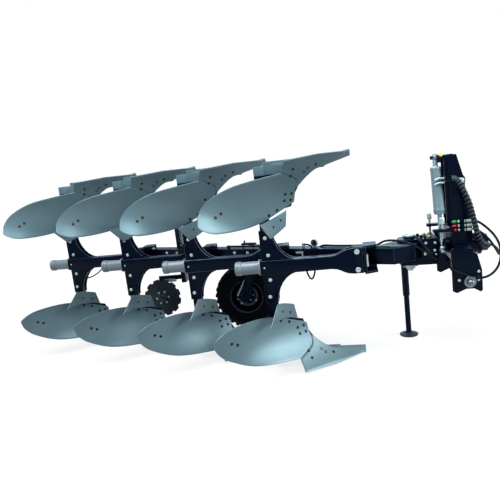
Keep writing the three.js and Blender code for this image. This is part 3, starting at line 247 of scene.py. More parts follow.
def take(*pieces):
    """Selects these pieces alone, and makes the first the active one."""
    if bpy.context.object and bpy.context.object.mode != "OBJECT":
        bpy.ops.object.mode_set(mode="OBJECT")
    bpy.ops.object.select_all(action="DESELECT")
    for piece in pieces:
        piece.select_set(True)
    if pieces:
        bpy.context.view_layer.objects.active = pieces[0]


def smooth_route(points, steps=10):
    """Points along one smooth line through the given ones."""
    line = []
    ends = [points[0] * 2 - points[1], *points, points[-1] * 2 - points[-2]]
    for i in range(1, len(ends) - 2):
        a, b, c, d = ends[i - 1:i + 3]
        for j in range(steps):
            t = j / steps
            line.append(0.5 * ((2 * b) + (c - a) * t + (2 * a - 5 * b + 4 * c - d) * t ** 2
                               + (3 * b - a - 3 * c + d) * t ** 3))
    line.append(points[-1])
    return line


def spiral_round(points, radius):
    """Points of a guard that is wound closely round a bundle."""
    coil = []
    for i, point in enumerate(points[:-1]):
        along = (points[i + 1] - points[max(i - 1, 0)]).normalized()
        across = along.cross(Vector((0, 1, 0))).normalized()
        other = along.cross(across)
        for share in (j / GUARD_STEPS for j in range(GUARD_STEPS)):
            angle = (i + share) * GUARD_TURN
            coil.append(point.lerp(points[i + 1], share)
                        + (across * math.cos(angle) + other * math.sin(angle)) * radius)
    return coil


def drawn_line(name, points, diameter, body, finish, resolution=4, caps=True):
    """A hose or a pipe whose points lie close together."""
    take()
    bpy.ops.curve.primitive_nurbs_path_add(location=(0, 0, 0))
    line = bpy.context.object
    line.name = name
    line.data.splines.clear()
    run = line.data.splines.new("POLY")
    run.points.add(len(points) - 1)
    for knot, point in zip(run.points, points):
        knot.co = (*point, 1)
    run.use_smooth = True
    line.data.bevel_depth = diameter / 2000
    line.data.bevel_resolution = resolution
    line.data.use_fill_caps = caps
    line.data.materials.append(finish)
    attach(line, body)
    return line


for node, route, diameter, body in (
        ("hose_bundle", bundle_route, BUNDLE_DIAMETER, "headstock"),
        ("hose_green", green_route, HOSE_DIAMETER, "headstock"),
        ("hose_red", red_route, HOSE_DIAMETER, "headstock"),
        ("hose_head", head_route, HOSE_DIAMETER, "head")):
    points = smooth_route([at(*place) for place in route])
    line = drawn_line(node + "_line", points, diameter, body, hose_rubber, resolution=5)
    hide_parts(node)
    if node == "hose_bundle":
        drawn_line("hose_bundle_guard", spiral_round(points, diameter / 2000),
                                 GUARD_DIAMETER, body, guard_plastic, resolution=2, caps=False)

# Working paint of the frame
# The arms, legs, beam, turnover head and headstock are plate and hollow section, welded, shot
# blasted and sprayed in one near-black blue gloss. Their cut edges are rounded for the paint, and
# the rounds carry a paler blue-grey, a painted highlight where they catch the light.
MERGED_WITHIN = 0.02
FLAT_WITHIN = 0.6
frame_paint = finish_material(
    "frame paint", "frame_paint", (0.0007, 0.0019, 0.0096), (0.0012, 0.0029, 0.013), 0.27,
    rough_spread=0.02, scale=3.2, contrast=1.2, fine=260, drawn=18, bump=0.004, dust_amount=0.01,
    dust_colour=(0.05, 0.06, 0.08), gloss=0.12, gloss_tint=(0.5, 0.72, 1.0))
# The frame edge is a painted highlight: a paler blue-grey laid on the rounded edges of the frame.
painted_edge_highlight = finish_material(
    "frame edge painted highlight", "frame_paint", (0.064, 0.098, 0.15), (0.092, 0.136, 0.2), 0.26,
    rough_spread=0.03, scale=14, contrast=2.2, fine=260, drawn=18, bump=0.02, dust_amount=0.01,
    gloss=0.5, gloss_tint=(0.7, 0.86, 1.0))


def finished(piece, body, finish, *nodes, slot_name=None, bevel=1.2, angle=31, segments=2,
             edge_highlight=None):
    """Applies the piece's place, breaks its sharp edges and gives it its finish and its body. An
    edge highlight, where one is given, is painted on the broken edges.
    """
    take(piece)
    bpy.ops.object.transform_apply(location=True, rotation=True, scale=True)
    piece.data.materials.clear()
    piece.data.materials.append(finish)
    # The second slot holds the painted edge highlight, which the bevel's faces take.
    if edge_highlight:
        piece.data.materials.append(edge_highlight)
    if bevel:
        edge = piece.modifiers.new("broken edges", "BEVEL")
        edge.width = bevel / 1000
        edge.segments = segments
        edge.limit_method = "ANGLE"
        edge.angle_limit = math.radians(angle)
        edge.material = 1 if edge_highlight else -1
        bpy.ops.object.modifier_apply(modifier=edge.name)
    bpy.ops.object.shade_smooth_by_angle(angle=math.radians(angle))
    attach(piece, body)
    if nodes:
        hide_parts(*nodes)
    return piece


def welded_copy(node, name, body, bevel, finish=frame_paint):
    """Stands for a CAD node: the same plates, joined to one skin, with their edges rounded and a
    painted highlight on the rounds.
    """
    piece = bpy.data.objects.new(name, frame["nodes"][node].data.copy())
    bpy.context.scene.collection.objects.link(piece)
    take(piece)
    bpy.ops.object.mode_set(mode="EDIT")
    bpy.ops.mesh.select_all(action="SELECT")
    bpy.ops.mesh.remove_doubles(threshold=MERGED_WITHIN / 1000)
    bpy.ops.mesh.dissolve_limited(angle_limit=math.radians(FLAT_WITHIN))
    bpy.ops.object.mode_set(mode="OBJECT")
    return finished(piece, body, finish, node, bevel=bevel, edge_highlight=painted_edge_highlight)


for k in range(1, 5):
    welded_copy(f"arm_{k}", f"arm_{k}_welded", f"arm_{k}_group", bevel=6)
    welded_copy(f"leg_lower_{k}", f"leg_lower_{k}_welded", f"arm_{k}_group", bevel=2)
    welded_copy(f"leg_upper_{k}", f"leg_upper_{k}_welded", f"arm_{k}_group", bevel=2)
welded_copy("main_beam", "main_beam_welded", "beam", bevel=12)
welded_copy("turnover_head", "turnover_head_welded", "head", bevel=4)
welded_copy("headstock_frame", "headstock_welded", "headstock", bevel=3)
welded_copy("wheel_arm", "wheel_arm_welded", "wheel_carrier", bevel=4)
welded_copy("coulter_bracket", "coulter_bracket_welded", "beam", bevel=3)

# Feet of the legs
# The foot of each leg, with its landside, works in the ground and is sprayed as the boards are.
# The line between the two paints is cut into the leg's skin.
FOOT_REACH = 862
board_paint = finish_material(
    "board paint", "board_paint", (0.096, 0.165, 0.2), (0.124, 0.204, 0.243), 0.34,
    rough_spread=0.05, metallic=0.18, scale=2.2, contrast=1.3, fine=420, drawn=26, bump=0.03,
    dust_amount=0.03, dust_colour=(0.26, 0.34, 0.37), gloss=0.42, gloss_tint=(0.86, 0.96, 1.0))


def painted_beyond(piece, finish, is_beyond):
    """Gives another finish to the faces whose middle passes the test."""
    piece.data.materials.append(finish)
    for face in piece.data.polygons:
        if is_beyond(face.center):
            face.material_index = len(piece.data.materials) - 1


for k in range(1, 5):
    for level, side in (("lower", -1), ("upper", 1)):
        leg = bpy.data.objects[f"leg_{level}_{k}_welded"]
        line = at(0, 0, side * FOOT_REACH, body=k)
        take(leg)
        bpy.ops.object.mode_set(mode="EDIT")
        bpy.ops.mesh.select_all(action="SELECT")
        bpy.ops.mesh.bisect(plane_co=line, plane_no=(0, 0, 1))
        bpy.ops.object.mode_set(mode="OBJECT")
        painted_beyond(leg, board_paint, lambda middle: (middle.z - line.z) * side > 0)

# Bodies
# Each body has a mouldboard, a share with its reversible point, and a trash board, pressed from
# boron steel and sprayed satin blue-grey. Countersunk plough bolts hold them to the frog behind.
# Outlines go forward, and away from the arm's axis. Each run fills its own columns.
BOARD_THICKNESS = 10
POINT_THICKNESS = 21
POINT_SUNK = 6
TRASH_THICKNESS = 8
SURFACE_UPRIGHT = 450.0
WING_UPRIGHT = 550.0
SURFACE_SLOPE = 0.9
SURFACE_CURL = 910
SURFACE_TOE = (300, 10)
WING_START = 150
WING_LENGTH = 645
TAIL_REACH = 0.085
TAIL_HALF = 0.275
seam = [(305, 868), (412, 792), (400, 705)]
mould_lower = [(20, [(-388, 614), (-305, 715), (-80, 812), (305, 868)]), (14, seam)]
mould_upper = [(34, [(-388, 512), (-240, 430), (50, 438), (372, 585)])]
share_lower = [(8, [(350, 975), (640, 998)]), (10, [(640, 998), (872, 992)])]
share_upper = [(8, [(x + 4, depth + 4) for x, depth in seam]),
               (10, [(404, 709), (590, 860), (872, 952)])]
point_lower = [(6, [(612, 935), (925, 994)])]
point_upper = [(6, [(612, 862), (925, 942)])]
trash_foot = [(300, 4, 522), (152, -128, 452), (106, -440, 462)]
trash_top = [(282, -28, 376), (205, -140, 322), (160, -254, 302)]


def surface_y(x, depth):
    """How far the one working surface of a body lies towards the land."""
    toe_x, toe_y = SURFACE_TOE
    wing = max(0, WING_START - x) / WING_LENGTH
    return (SURFACE_SLOPE * (x - toe_x) + toe_y - (depth - SURFACE_UPRIGHT) ** 2 / SURFACE_CURL
            + wing * wing * (depth - WING_UPRIGHT))


def surface_normal(x, depth, side):
    """Towards the furrow, away from the legs."""
    along = (surface_y(x + 1, depth) - surface_y(x - 1, depth)) / 2
    down = (surface_y(x, depth + 1) - surface_y(x, depth - 1)) / 2
    return Vector((along, -1, side * down)).normalized()


def edge_point(runs, share):
    """A point of an edge whose runs each fill their own columns."""
    column = share * sum(columns for columns, points in runs)
    for i, (columns, points) in enumerate(runs):
        if column <= columns or i == len(runs) - 1:
            break
        column -= columns
    place = min(column / columns, 1.0) * (len(points) - 1)
    i = min(int(place), len(points) - 2)
    t = place - i
    a, b = points[max(i - 1, 0)], points[i]
    c, d = points[i + 1], points[min(i + 2, len(points) - 1)]
    if len(points) == 2:
        return tuple(p + (q - p) * t for p, q in zip(b, c))
    return tuple(
        (2 * q - 2 * r + (r - p) / 2 + (s - q) / 2) * t ** 3
        + (-3 * q + 3 * r - (r - p) - (s - q) / 2) * t ** 2 + (r - p) / 2 * t + q
        for p, q, r, s in zip(a, b, c, d))


def curve_point(points, share):
    """A point of the curve that bends from the first towards the second to the last."""
    a, b, c = (Vector(point) for point in points)
    return a * (1 - share) ** 2 + b * (2 * share * (1 - share)) + c * share ** 2


def round_end(s, t):
    """Draws the edges together near the tail, so that the board ends in a half round."""
    if s >= TAIL_REACH:
        return t
    half = TAIL_HALF + (0.5 - TAIL_HALF) * math.sqrt(1 - (1 - s / TAIL_REACH) ** 2)
    return 0.5 + (t - 0.5) * 2 * half


def surface_place(x, depth, side, k, back=0.0):
    """A place on the working surface of a body, or a little behind it."""
    place = Vector((x, surface_y(x, depth), side * depth)) - surface_normal(x, depth, side) * back
    return at(*place, body=k)


def between(lower, upper, s, t, side, k, back=0.0):
    """A place on the working surface between two edges."""
    low, high = edge_point(lower, s), edge_point(upper, s)
    x, depth = (a + (b - a) * t for a, b in zip(low, high))
    return surface_place(x, depth, side, k, back)


def trash_point(s, t, side, k):
    place = curve_point(trash_foot, s).lerp(curve_point(trash_top, s), t)
    return at(place.x, place.y, side * place.z, body=k)


def pressed_plate(name, columns, rows, place_of, thickness, body, *nodes, **edges):
    """A sheet laid on its surface point by point, then given its thickness to the back."""
    take()
    bpy.ops.mesh.primitive_grid_add(x_subdivisions=columns, y_subdivisions=rows, size=2)
    piece = bpy.context.object
    piece.name = name
    for corner in piece.data.vertices:
        corner.co = place_of((corner.co.x + 1) / 2, (corner.co.y + 1) / 2)
    bpy.ops.object.mode_set(mode="EDIT")
    bpy.ops.mesh.select_all(action="SELECT")
    if sum(face.normal.y for face in piece.data.polygons) > 0:
        bpy.ops.mesh.flip_normals()
    bpy.ops.object.mode_set(mode="OBJECT")
    wall = piece.modifiers.new("plate", "SOLIDIFY")
    wall.thickness = thickness / 1000
    wall.offset = -1
    wall.use_even_offset = True
    bpy.ops.object.modifier_apply(modifier=wall.name)
    return finished(piece, body, board_paint, *nodes, angle=50, **edges)


for k in range(1, 5):
    for level, side in (("lower", -1), ("upper", 1)):
        body = f"arm_{k}_group"
        board = f"mouldboard_{level}_{k}"
        blade = f"share_{level}_{k}"
        trash = f"trash_board_{level}_{k}"
        pressed_plate(
            board + "_pressed", 68, 22,
            lambda s, t: between(mould_lower, mould_upper, s, round_end(s, t), side, k),
            BOARD_THICKNESS, body, board, bevel=1.8)
        pressed_plate(
            blade + "_blade", 36, 8, lambda s, t: between(share_lower, share_upper, s, t, side, k),
            BOARD_THICKNESS, body, blade, bevel=1.5)
        pressed_plate(
            blade + "_point", 14, 4,
            lambda s, t: between(point_lower, point_upper, s, t, side, k, POINT_SUNK),
            POINT_THICKNESS, body, bevel=3, segments=3)
        pressed_plate(
            trash + "_pressed", 28, 12, lambda s, t: trash_point(s, t, side, k),
            TRASH_THICKNESS, body, trash, bevel=1.5)

# Plough bolts
# Countersunk bolts with a shallow dish, a hair proud of the boards, blackened or, on the upper
# tails, rusty. The trash boards have small cup heads.
RING_CLOSED_WITHIN = 0.001
board_holes = [(292, 612), (345, 609), (308, 671), (361, 668)]
tail_holes = [(-258, 569), (-215, 596)]
crest_holes = [(150, 501), (221, 535)]
share_holes = [(377, 831), (406, 892), (494, 851), (531, 884), (606, 907)]
point_holes = [(742, 936), (806, 949)]
trash_holes = [(0.562, 0.49), (0.223, 0.379)]
bolt_black = finish_material(
    "plough bolt", "zinc_pin", (0.004, 0.004, 0.006), (0.01, 0.009, 0.011), 0.55, metallic=0.2,
    scale=60, contrast=2.4, fine=900, drawn=200, bump=0.2, dust_amount=0.02, gloss=0.2)
bolt_rust = finish_material(
    "worn plough bolt", "zinc_pin", (0.06, 0.022, 0.012), (0.022, 0.014, 0.012), 0.6,
    metallic=0.2, scale=90, contrast=2.0, fine=900, drawn=200, bump=0.3, dust_amount=0.05,
    gloss=0.2)


def turned(name, profile, sides=48, ring=False):
    """A turned piece along Z: one circle, drawn on and widened or narrowed step by step."""
    take()
    profile = [(radius / 1000, place / 1000) for radius, place in profile]
    radius, place = profile[0]
    bpy.ops.mesh.primitive_circle_add(
        vertices=sides, radius=radius, location=(0, 0, 0),
        fill_type="NOTHING" if ring else "NGON")
    piece = bpy.context.object
    piece.name = name
    bpy.ops.object.mode_set(mode="EDIT")
    bpy.ops.mesh.select_all(action="SELECT")
    bpy.ops.transform.translate(value=(0, 0, place))
    for (before, low), (radius, place) in zip(profile, profile[1:]):
        bpy.ops.mesh.extrude_region_move(TRANSFORM_OT_translate={"value": (0, 0, place - low)})
        bpy.ops.transform.resize(value=(radius / before, radius / before, 1),
                                 center_override=(0, 0, place))
    bpy.ops.mesh.select_all(action="SELECT")
    if ring:
        bpy.ops.mesh.remove_doubles(threshold=RING_CLOSED_WITHIN / 1000)
    bpy.ops.mesh.normals_make_consistent(inside=False)
    bpy.ops.object.mode_set(mode="OBJECT")
    return piece


def joined(name, *pieces):
    take(*pieces)
    if len(pieces) > 1:
        bpy.ops.object.join()
    bpy.context.object.name = name
    return bpy.context.object


def copy_of(pattern, placing):
    one = pattern.copy()
    one.data = pattern.data.copy()
    one.data.transform(placing)
    bpy.context.scene.collection.objects.link(one)
    return one


def facing_to(place, direction):
    """The placing that stands a piece on a place, its Z axis along the direction."""
    turn = Vector((0, 0, 1)).rotation_difference(Vector(direction))
    return Matrix.Translation(place) @ turn.to_matrix().to_4x4()


def copies(name, pattern, places, body, finish):
    """Copies of one modelled piece at each (place, direction), joined to one piece."""
    made = [copy_of(pattern, facing_to(*place)) for place in places]
    return finished(joined(name, *made), body, finish, bevel=0)


plough_bolt = turned("plough_bolt_pattern", [
    (14.5, -4), (15, -0.2), (14.4, 0.8), (10, 1), (8.8, 0.2), (3, 0.1)], sides=24)
trash_bolt = turned("trash_bolt_pattern", [
    (10.5, -4), (11, 0), (10.8, 2.4), (8, 4.2), (3, 4.8)], sides=20)
for k in range(1, 5):
    for level, side in (("lower", -1), ("upper", 1)):
        body = f"arm_{k}_group"
        for label, holes, steel in (
                ("body", board_holes + crest_holes + share_holes + point_holes, bolt_black),
                ("tail", tail_holes, bolt_rust if side > 0 else bolt_black)):
            places = [(surface_place(*hole, side, k, POINT_SUNK if hole in point_holes else 0),
                       surface_normal(*hole, side)) for hole in holes]
            copies(f"{label}_bolts_{level}_{k}", plough_bolt, places, body, steel)
        places = []
        for s, t in trash_holes:
            here = trash_point(s, t, side, k)
            ahead = trash_point(s + 0.01, t, side, k) - here
            above = trash_point(s, t + 0.01, side, k) - here
            face = ahead.cross(above).normalized()
            places.append((here, face if face.y < 0 else -face))
        copies(f"trash_bolts_{level}_{k}", trash_bolt, places, body, bolt_black)
for pattern in (plough_bolt, trash_bolt):
    bpy.data.objects.remove(pattern)

# Leg bolts and yoke pins
# Each leg stands in the cheeks of its arm, held by two zinc bolts on either side of the arm, the
# outer one a shear bolt. Two pins hold the arm's nose in its yoke, with zinc heads.
zinc_plate = finish_material(
    "zinc plate", "zinc_pin", (0.42, 0.54, 0.53), (0.52, 0.64, 0.62), 0.36, rough_spread=0.08,
    metallic=0.6, scale=40, contrast=1.6, fine=900, drawn=120, bump=0.08, dust_amount=0.03)
TOWARDS_FURROW = Vector((0, -1, 0))


def hex_bolt(name, across, height):
    """A bolt head along Z with its washer: a hexagon, chamfered on top, on a turned washer."""
    washer = turned(name + "_washer", [
        (across * 0.98, -1), (across, 0.6), (across, 2.4), (across * 0.96, 3)], sides=28)
    head = turned(name + "_head", [
        (across * 0.74, 2.8), (across * 0.76, 3.4), (across * 0.76, height * 0.84),
        (across * 0.64, height), (across * 0.2, height + 0.2)], sides=6)
    return joined(name, washer, head)


def bolts(name, pattern, places, body, k=1):
    """Zinc bolts that face the furrow, on places given from the rear end of an arm."""
    return copies(name, pattern, [(at(*place, body=k), TOWARDS_FURROW) for place in places],
                  body, zinc_plate)


large_bolt = hex_bolt("large_bolt", 17.5, 13)
medium_bolt = hex_bolt("medium_bolt", 13, 10)
small_bolt = hex_bolt("small_bolt", 9, 7)
pin_head = turned("yoke_pin_pattern", [
    (23.6, -8), (24.2, -6.8), (24.2, 5.2), (22, 7.6), (9, 8), (7, 6.2), (3, 6)], sides=36)
arm_fastenings = (
    ("leg_bolts", large_bolt, [(83, -52.3, -119), (88, -52.3, 119),
                               (65, -52.3, -283), (75, -52.3, 283)]),
    ("flange_screw", small_bolt, [(41, -57.5, 0)]),
    ("yoke_pins", pin_head, [(904, -58, -84), (904, -58, 84)]))
for k in range(1, 5):
    for label, pattern, places in arm_fastenings:
        bolts(f"{label}_{k}", pattern, places, f"arm_{k}_group", k)
bpy.data.objects.remove(pin_head)

# Reset cylinders
# The gas sprung cylinder behind each arm holds it on its seats, and lets the body rise over a
# stone. It has a cast cap, a drawn barrel and a bolted flange, and is painted light grey.
FLANGE_FACE = -16.2
FLANGE_BOLT_CIRCLE = 65.5
QUARTER = math.radians(90)
reset_grey = finish_material(
    "reset grey", "reset_paint", (0.2, 0.262, 0.312), (0.25, 0.314, 0.364), 0.38,
    rough_spread=0.06, metallic=0.15, scale=9, contrast=1.2, fine=500, drawn=60, bump=0.05,
    dust_amount=0.05, dust_colour=(0.26, 0.34, 0.37))
reset_profile = [
    (30, -244), (34, -247.8), (57, -248), (64, -244), (67, -238), (67, -221.5), (64, -220),
    (64, -217), (67, -215.5), (67, -196), (63, -190), (56, -187), (60, -184), (60.5, -181),
    (60.5, -23), (64, -18), (74, -16.5), (76.5, -14.5), (76.5, -2), (74, -0.4), (60, -0.3)]


def moved(x, y, z):
    """The placing that moves a piece by so many millimetres."""
    return Matrix.Translation(Vector((x, y, z)) / 1000)


def placed(piece, placing, body, finish, *nodes, **edges):
    """Moves a modelled piece to its place and finishes it."""
    piece.data.transform(placing)
    return finished(piece, body, finish, *nodes, **edges)


for k in range(1, 5):
    placed(turned(f"reset_cylinder_{k}_turned", reset_profile, sides=64),
           Matrix.Translation(at(0, 0, 0, body=k)) @ Matrix.Rotation(QUARTER, 4, "Y"),
           f"arm_{k}_group", reset_grey, f"reset_cylinder_{k}", bevel=0.6, angle=28)
    around = [math.radians(angle) for angle in (45, 135, 225, 315)]
    copies(f"reset_bolts_{k}", small_bolt,
           [(at(FLANGE_FACE, FLANGE_BOLT_CIRCLE * math.cos(angle),
                FLANGE_BOLT_CIRCLE * math.sin(angle), body=k), (-1, 0, 0)) for angle in around],
           f"arm_{k}_group", zinc_plate)

# Depth wheel
# A block-tread implement tyre on a dished steel rim, bolted to a hub that turns on the wheel arm's
# axle. The rim is sprayed as the frame, with a paler blue-grey painted on its lip and on a ring of
# its disc as a painted highlight.
WHEEL = Vector((-385, 1130, -562))
LUG_SIZE = (22, 44, 60)
LUG_PITCH = 12
LUG_EDGE = 3.5
WHEEL_NUT_CIRCLE = 68
tyre_rubber = finish_material(
    "tyre rubber", "tyre", (0.0008, 0.0012, 0.002), (0.0018, 0.0024, 0.0034), 0.55,
    rough_spread=0.12, scale=12, contrast=1.5, fine=420, drawn=60, bump=0.2, dust_amount=0.02,
    dust_colour=(0.008, 0.012, 0.02), gloss=0.07, gloss_tint=(0.6, 0.8, 1.0))
rim_paint = finish_material(
    "rim paint", "rim_paint", (0.0012, 0.0026, 0.0085), (0.0022, 0.0042, 0.0125), 0.28,
    rough_spread=0.05, scale=8, contrast=1.3, fine=300, drawn=30, bump=0.05, dust_amount=0.02,
    dust_colour=(0.05, 0.06, 0.08), gloss=0.14, gloss_tint=(0.6, 0.78, 1.0))
# The rim's painted highlight: a paler blue-grey for the lip and for a ring on the disc.
rim_painted_highlight = finish_material(
    "rim lip painted highlight", "rim_paint", (0.044, 0.06, 0.092), (0.07, 0.09, 0.13), 0.35, metallic=0.3,
    scale=22, contrast=2.0, fine=500, drawn=60, bump=0.08, dust_amount=0.03)
to_wheel = Matrix.Translation(at(*WHEEL)) @ Matrix.Rotation(-QUARTER, 4, "X")


def mirrored(half):
    """The other half of a profile that is the same on both sides."""
    return [(radius, -place) for radius, place in half[::-1]]


def on_circle(middle, radius, drop, count, first=0):
    """Places of bolts in a circle round the axis of a wheel or a disc."""
    angles = [math.radians(360 / count * i + first) for i in range(count)]
    return [middle + Vector((radius * math.cos(angle), drop, radius * math.sin(angle)))
            for angle in angles]


def cube(name, size):
    """A plain block about the origin."""
    take()
    bpy.ops.mesh.primitive_cube_add(size=1)
    piece = bpy.context.object
    piece.name = name
    piece.dimensions = Vector(size) / 1000
    bpy.ops.object.transform_apply(scale=True)
    return piece


half_tyre = [
    (194.5, -98), (201, -108), (208, -112), (215, -113), (225, -115), (255, -125), (283, -129.8),
    (305, -129), (308, -130.5), (313, -130), (316, -128), (330, -123), (343, -116), (352, -106),
    (357, -95), (358, -60), (358.5, -20)]
tyre = turned("tyre_moulded", half_tyre + mirrored(half_tyre) + [half_tyre[0]], sides=84,
              ring=True)
lug = cube("tyre_lug", LUG_SIZE)
bpy.ops.object.mode_set(mode="EDIT")
bpy.ops.mesh.select_all(action="SELECT")
bpy.ops.mesh.bevel(offset=LUG_EDGE / 1000, segments=1, affect="EDGES")
bpy.ops.object.mode_set(mode="OBJECT")
blocks = []
for i in range(360 // LUG_PITCH):
    for side in (-1, 1):
        angle = math.radians(LUG_PITCH * i + (0 if side > 0 else LUG_PITCH / 2))
        for reach, place, lean, widen in ((365, 30, 24, 1), (358, 88, -8, 0.86)):
            blocks.append(copy_of(
                lug, Matrix.Rotation(angle, 4, "Z") @ moved(reach, 0, side * place)
                @ Matrix.Rotation(math.radians(side * lean), 4, "X")
                @ Matrix.Diagonal((1, widen, 1, 1))))
bpy.data.objects.remove(lug)
placed(joined("tyre_moulded", tyre, *blocks), to_wheel, "wheel", tyre_rubber, "tyre", bevel=0)

# The rim's rolled barrel, the dished disc and the hub, then the painted highlight of the lip and
# ring, and the nuts
half_rim = [(174, 0), (174, -35), (186, -56), (186.5, -93), (190, -103), (193.5, -103.5),
            (193.8, -99), (193.8, -96)]
barrel = turned("wheel_rim_barrel", [
    *half_rim, (190, -58), (178, -37), (178, 37), (190, 58), *mirrored(half_rim)], sides=84,
    ring=True)
disc = turned("wheel_disc", [
    (174.5, -22), (160, -26), (142, -44), (125, -50), (95, -48), (80, -38), (50, -38), (50, -30),
    (83, -30), (98, -40), (124, -42), (138, -36), (156, -16), (174.5, -14), (174.5, -22)],
    sides=84, ring=True)
hub = turned("wheel_hub", [
    (30, -61.5), (40, -61.5), (44, -58), (60, -45), (61.5, -42), (61.5, 52), (56, 60), (40, 61.8),
    (10, 61.8)], sides=48)
placed(joined("wheel_rim_rolled", barrel, disc, hub), to_wheel, "wheel", rim_paint, "wheel_rim",
       bevel=0.8, angle=28)
for name, profile in (
        ("wheel_rim_lip", [
            (185.8, -95), (188.8, -103.6), (190.5, -105), (193.8, -105), (194.5, -103.6),
            (194.5, -99), (190, -99), (185.8, -95)]),
        ("wheel_disc_ring", [
            (99, -47.8), (102, -50), (112, -51.2), (124, -51.4), (126.2, -50), (118, -48.8),
            (99, -47.8)])):
    placed(turned(name, profile, sides=84, ring=True), to_wheel, "wheel", rim_painted_highlight, bevel=0)
bolts("wheel_clamps", medium_bolt, [
    WHEEL + Vector((x, -51.2, z)) for x, z in ((-118, -31), (-78, -88), (98, -62))], "wheel")
bolts("wheel_nuts", small_bolt, on_circle(WHEEL, WHEEL_NUT_CIRCLE, -37.8, 6), "wheel")

# Disc coulters
# Notched discs of dark spring steel before the rear body, one for each way of turning, each on a
# flanged hub with six bolts. The notches are ground out of the rim.
COULTER_RADIUS = 236.5
COULTER_BOLT_CIRCLE = 76
NOTCH_RADIUS = 23
NOTCH_DEPTH = 60
NOTCHES = 12
disc_steel = finish_material(
    "disc steel", "disc_steel", (0.013, 0.022, 0.034), (0.022, 0.034, 0.048), 0.42,
    rough_spread=0.06, metallic=0.2, scale=6, contrast=1.6, fine=500, drawn=50, bump=0.04,
    dust_amount=0.03, dust_colour=(0.1, 0.12, 0.14), gloss=0.3)
take()
bpy.ops.mesh.primitive_cylinder_add(vertices=28, radius=NOTCH_RADIUS / 1000,
                                    depth=NOTCH_DEPTH / 1000)
notch = bpy.context.object
notch.data.transform(moved(COULTER_RADIUS, 0, 0) @ Matrix.Rotation(QUARTER, 4, "X"))
for level, side in (("lower", -1), ("upper", 1)):
    middle = Vector((-1490, 1250, side * 556))
    body = f"disc_{level}"
    plate = welded_copy(f"coulter_disc_{level}", f"coulter_disc_{level}_ground", body,
                        bevel=1.2, finish=disc_steel)
    bites = joined(f"coulter_notches_{level}", *[
        copy_of(notch, Matrix.Translation(at(*middle))
                @ Matrix.Rotation(math.radians(360 / NOTCHES * i), 4, "Y"))
        for i in range(NOTCHES)])
    take(plate)
    notched = plate.modifiers.new("notches", "BOOLEAN")
    notched.object = bites
    bpy.ops.object.modifier_apply(modifier=notched.name)
    bpy.data.objects.remove(bites)
    placed(turned(f"coulter_hub_{level}", [
        (51.5, 3), (53, 6), (53, 13), (38, 20.5), (30, 29), (24, 32), (8, 32.5)], sides=40),
        facing_to(at(*middle), TOWARDS_FURROW), body, disc_steel, bevel=0.6, angle=28)
    bolts(f"coulter_bolts_{level}", medium_bolt,
          on_circle(middle, COULTER_BOLT_CIRCLE, -3.2, 6, first=5), body)
bpy.data.objects.remove(notch)

# Parking stand
# A tube that slides in the sleeve of the head, with a pressed foot that has lost its paint on the
# ground.
FOOT_HEIGHT = 30
stand = placed(turned("stand_leg_turned", [
    (80, -1011.2), (93, -1011.2), (94.8, -1008), (94.8, -998.5), (90, -996), (50, -990),
    (38, -982), (30, -970), (28, -960), (28, -164), (25, -160.5), (20, -160.2)], sides=48),
    Matrix.Translation(at(1388, 700, 0)), "stand", frame_paint, "stand_leg", bevel=0.8, angle=28)
foot_top = min(corner.co.z for corner in stand.data.vertices) + FOOT_HEIGHT / 1000
painted_beyond(stand, disc_steel, lambda middle: middle.z < foot_top)

# Turnover cylinder
# A double-acting cylinder from the tower's top to the crank of the head: bare barrel with its
# gland and ports, chromed rod, and forged eyes on the pins. It leans towards the land.
CYLINDER_TOP = 836
CYLINDER_LEAN = 140
ROD_END = -math.hypot(CYLINDER_TOP, CYLINDER_LEAN)
barrel_paint = finish_material(
    "barrel paint", "cylinder_paint", (0.19, 0.285, 0.335), (0.25, 0.35, 0.4), 0.32,
    rough_spread=0.06, metallic=0.25, scale=10, contrast=1.2, fine=500, drawn=70, bump=0.05,
    dust_amount=0.05, dust_colour=(0.26, 0.34, 0.37))
rod_chrome = finish_material(
    "rod chrome", "chrome_rod", (0.26, 0.36, 0.41), (0.33, 0.44, 0.49), 0.15, rough_spread=0.06,
    metallic=1.0, scale=12, contrast=1.2, fine=700, drawn=90, bump=0.05, dust_amount=0.03)
to_cylinder = Matrix.Translation(at(1689, 330, CYLINDER_TOP)) @ Matrix.Rotation(
    -math.atan2(CYLINDER_LEAN, CYLINDER_TOP), 4, "X")


def pin_eye(name, radius, middle):
    """The eye at an end of the cylinder, with its hole across."""
    eye = turned(name, [
        (radius, -17), (radius + 2, -15.5), (radius + 2, 15.5), (radius, 17), (17.4, 17),
        (17.4, -17), (radius, -17)], sides=40, ring=True)
    eye.data.transform(moved(0, 0, middle) @ Matrix.Rotation(QUARTER, 4, "Y"))
    return eye


tube = turned("turnover_barrel", [
    (22.5, -527), (40, -528), (49, -525), (49.5, -505), (52.5, -503), (52.5, -480), (50, -478),
    (49.5, -474), (49.5, -118), (51.5, -116), (51.5, -98), (48, -90), (20, -88)], sides=56)
neck = turned("turnover_neck", [(20, -25), (22, -30), (23, -80), (30, -89), (20, -90)], sides=32)
placed(joined("turnover_cylinder_barrel_turned", tube, pin_eye("turnover_top_eye", 32, 0),
              neck), to_cylinder, "cylinder", barrel_paint, "turnover_cylinder_barrel",
       bevel=0.6, angle=28)
bar = turned("turnover_rod", [
    (19, -250), (21, -252), (21, ROD_END + 60), (19, ROD_END + 58), (18, ROD_END + 40),
    (16, ROD_END + 30)], sides=40)
placed(joined("turnover_cylinder_rod_turned", bar, pin_eye("turnover_rod_eye", 33, ROD_END)),
       to_cylinder, "rod", rod_chrome, "turnover_cylinder_rod", bevel=0.6, angle=28)

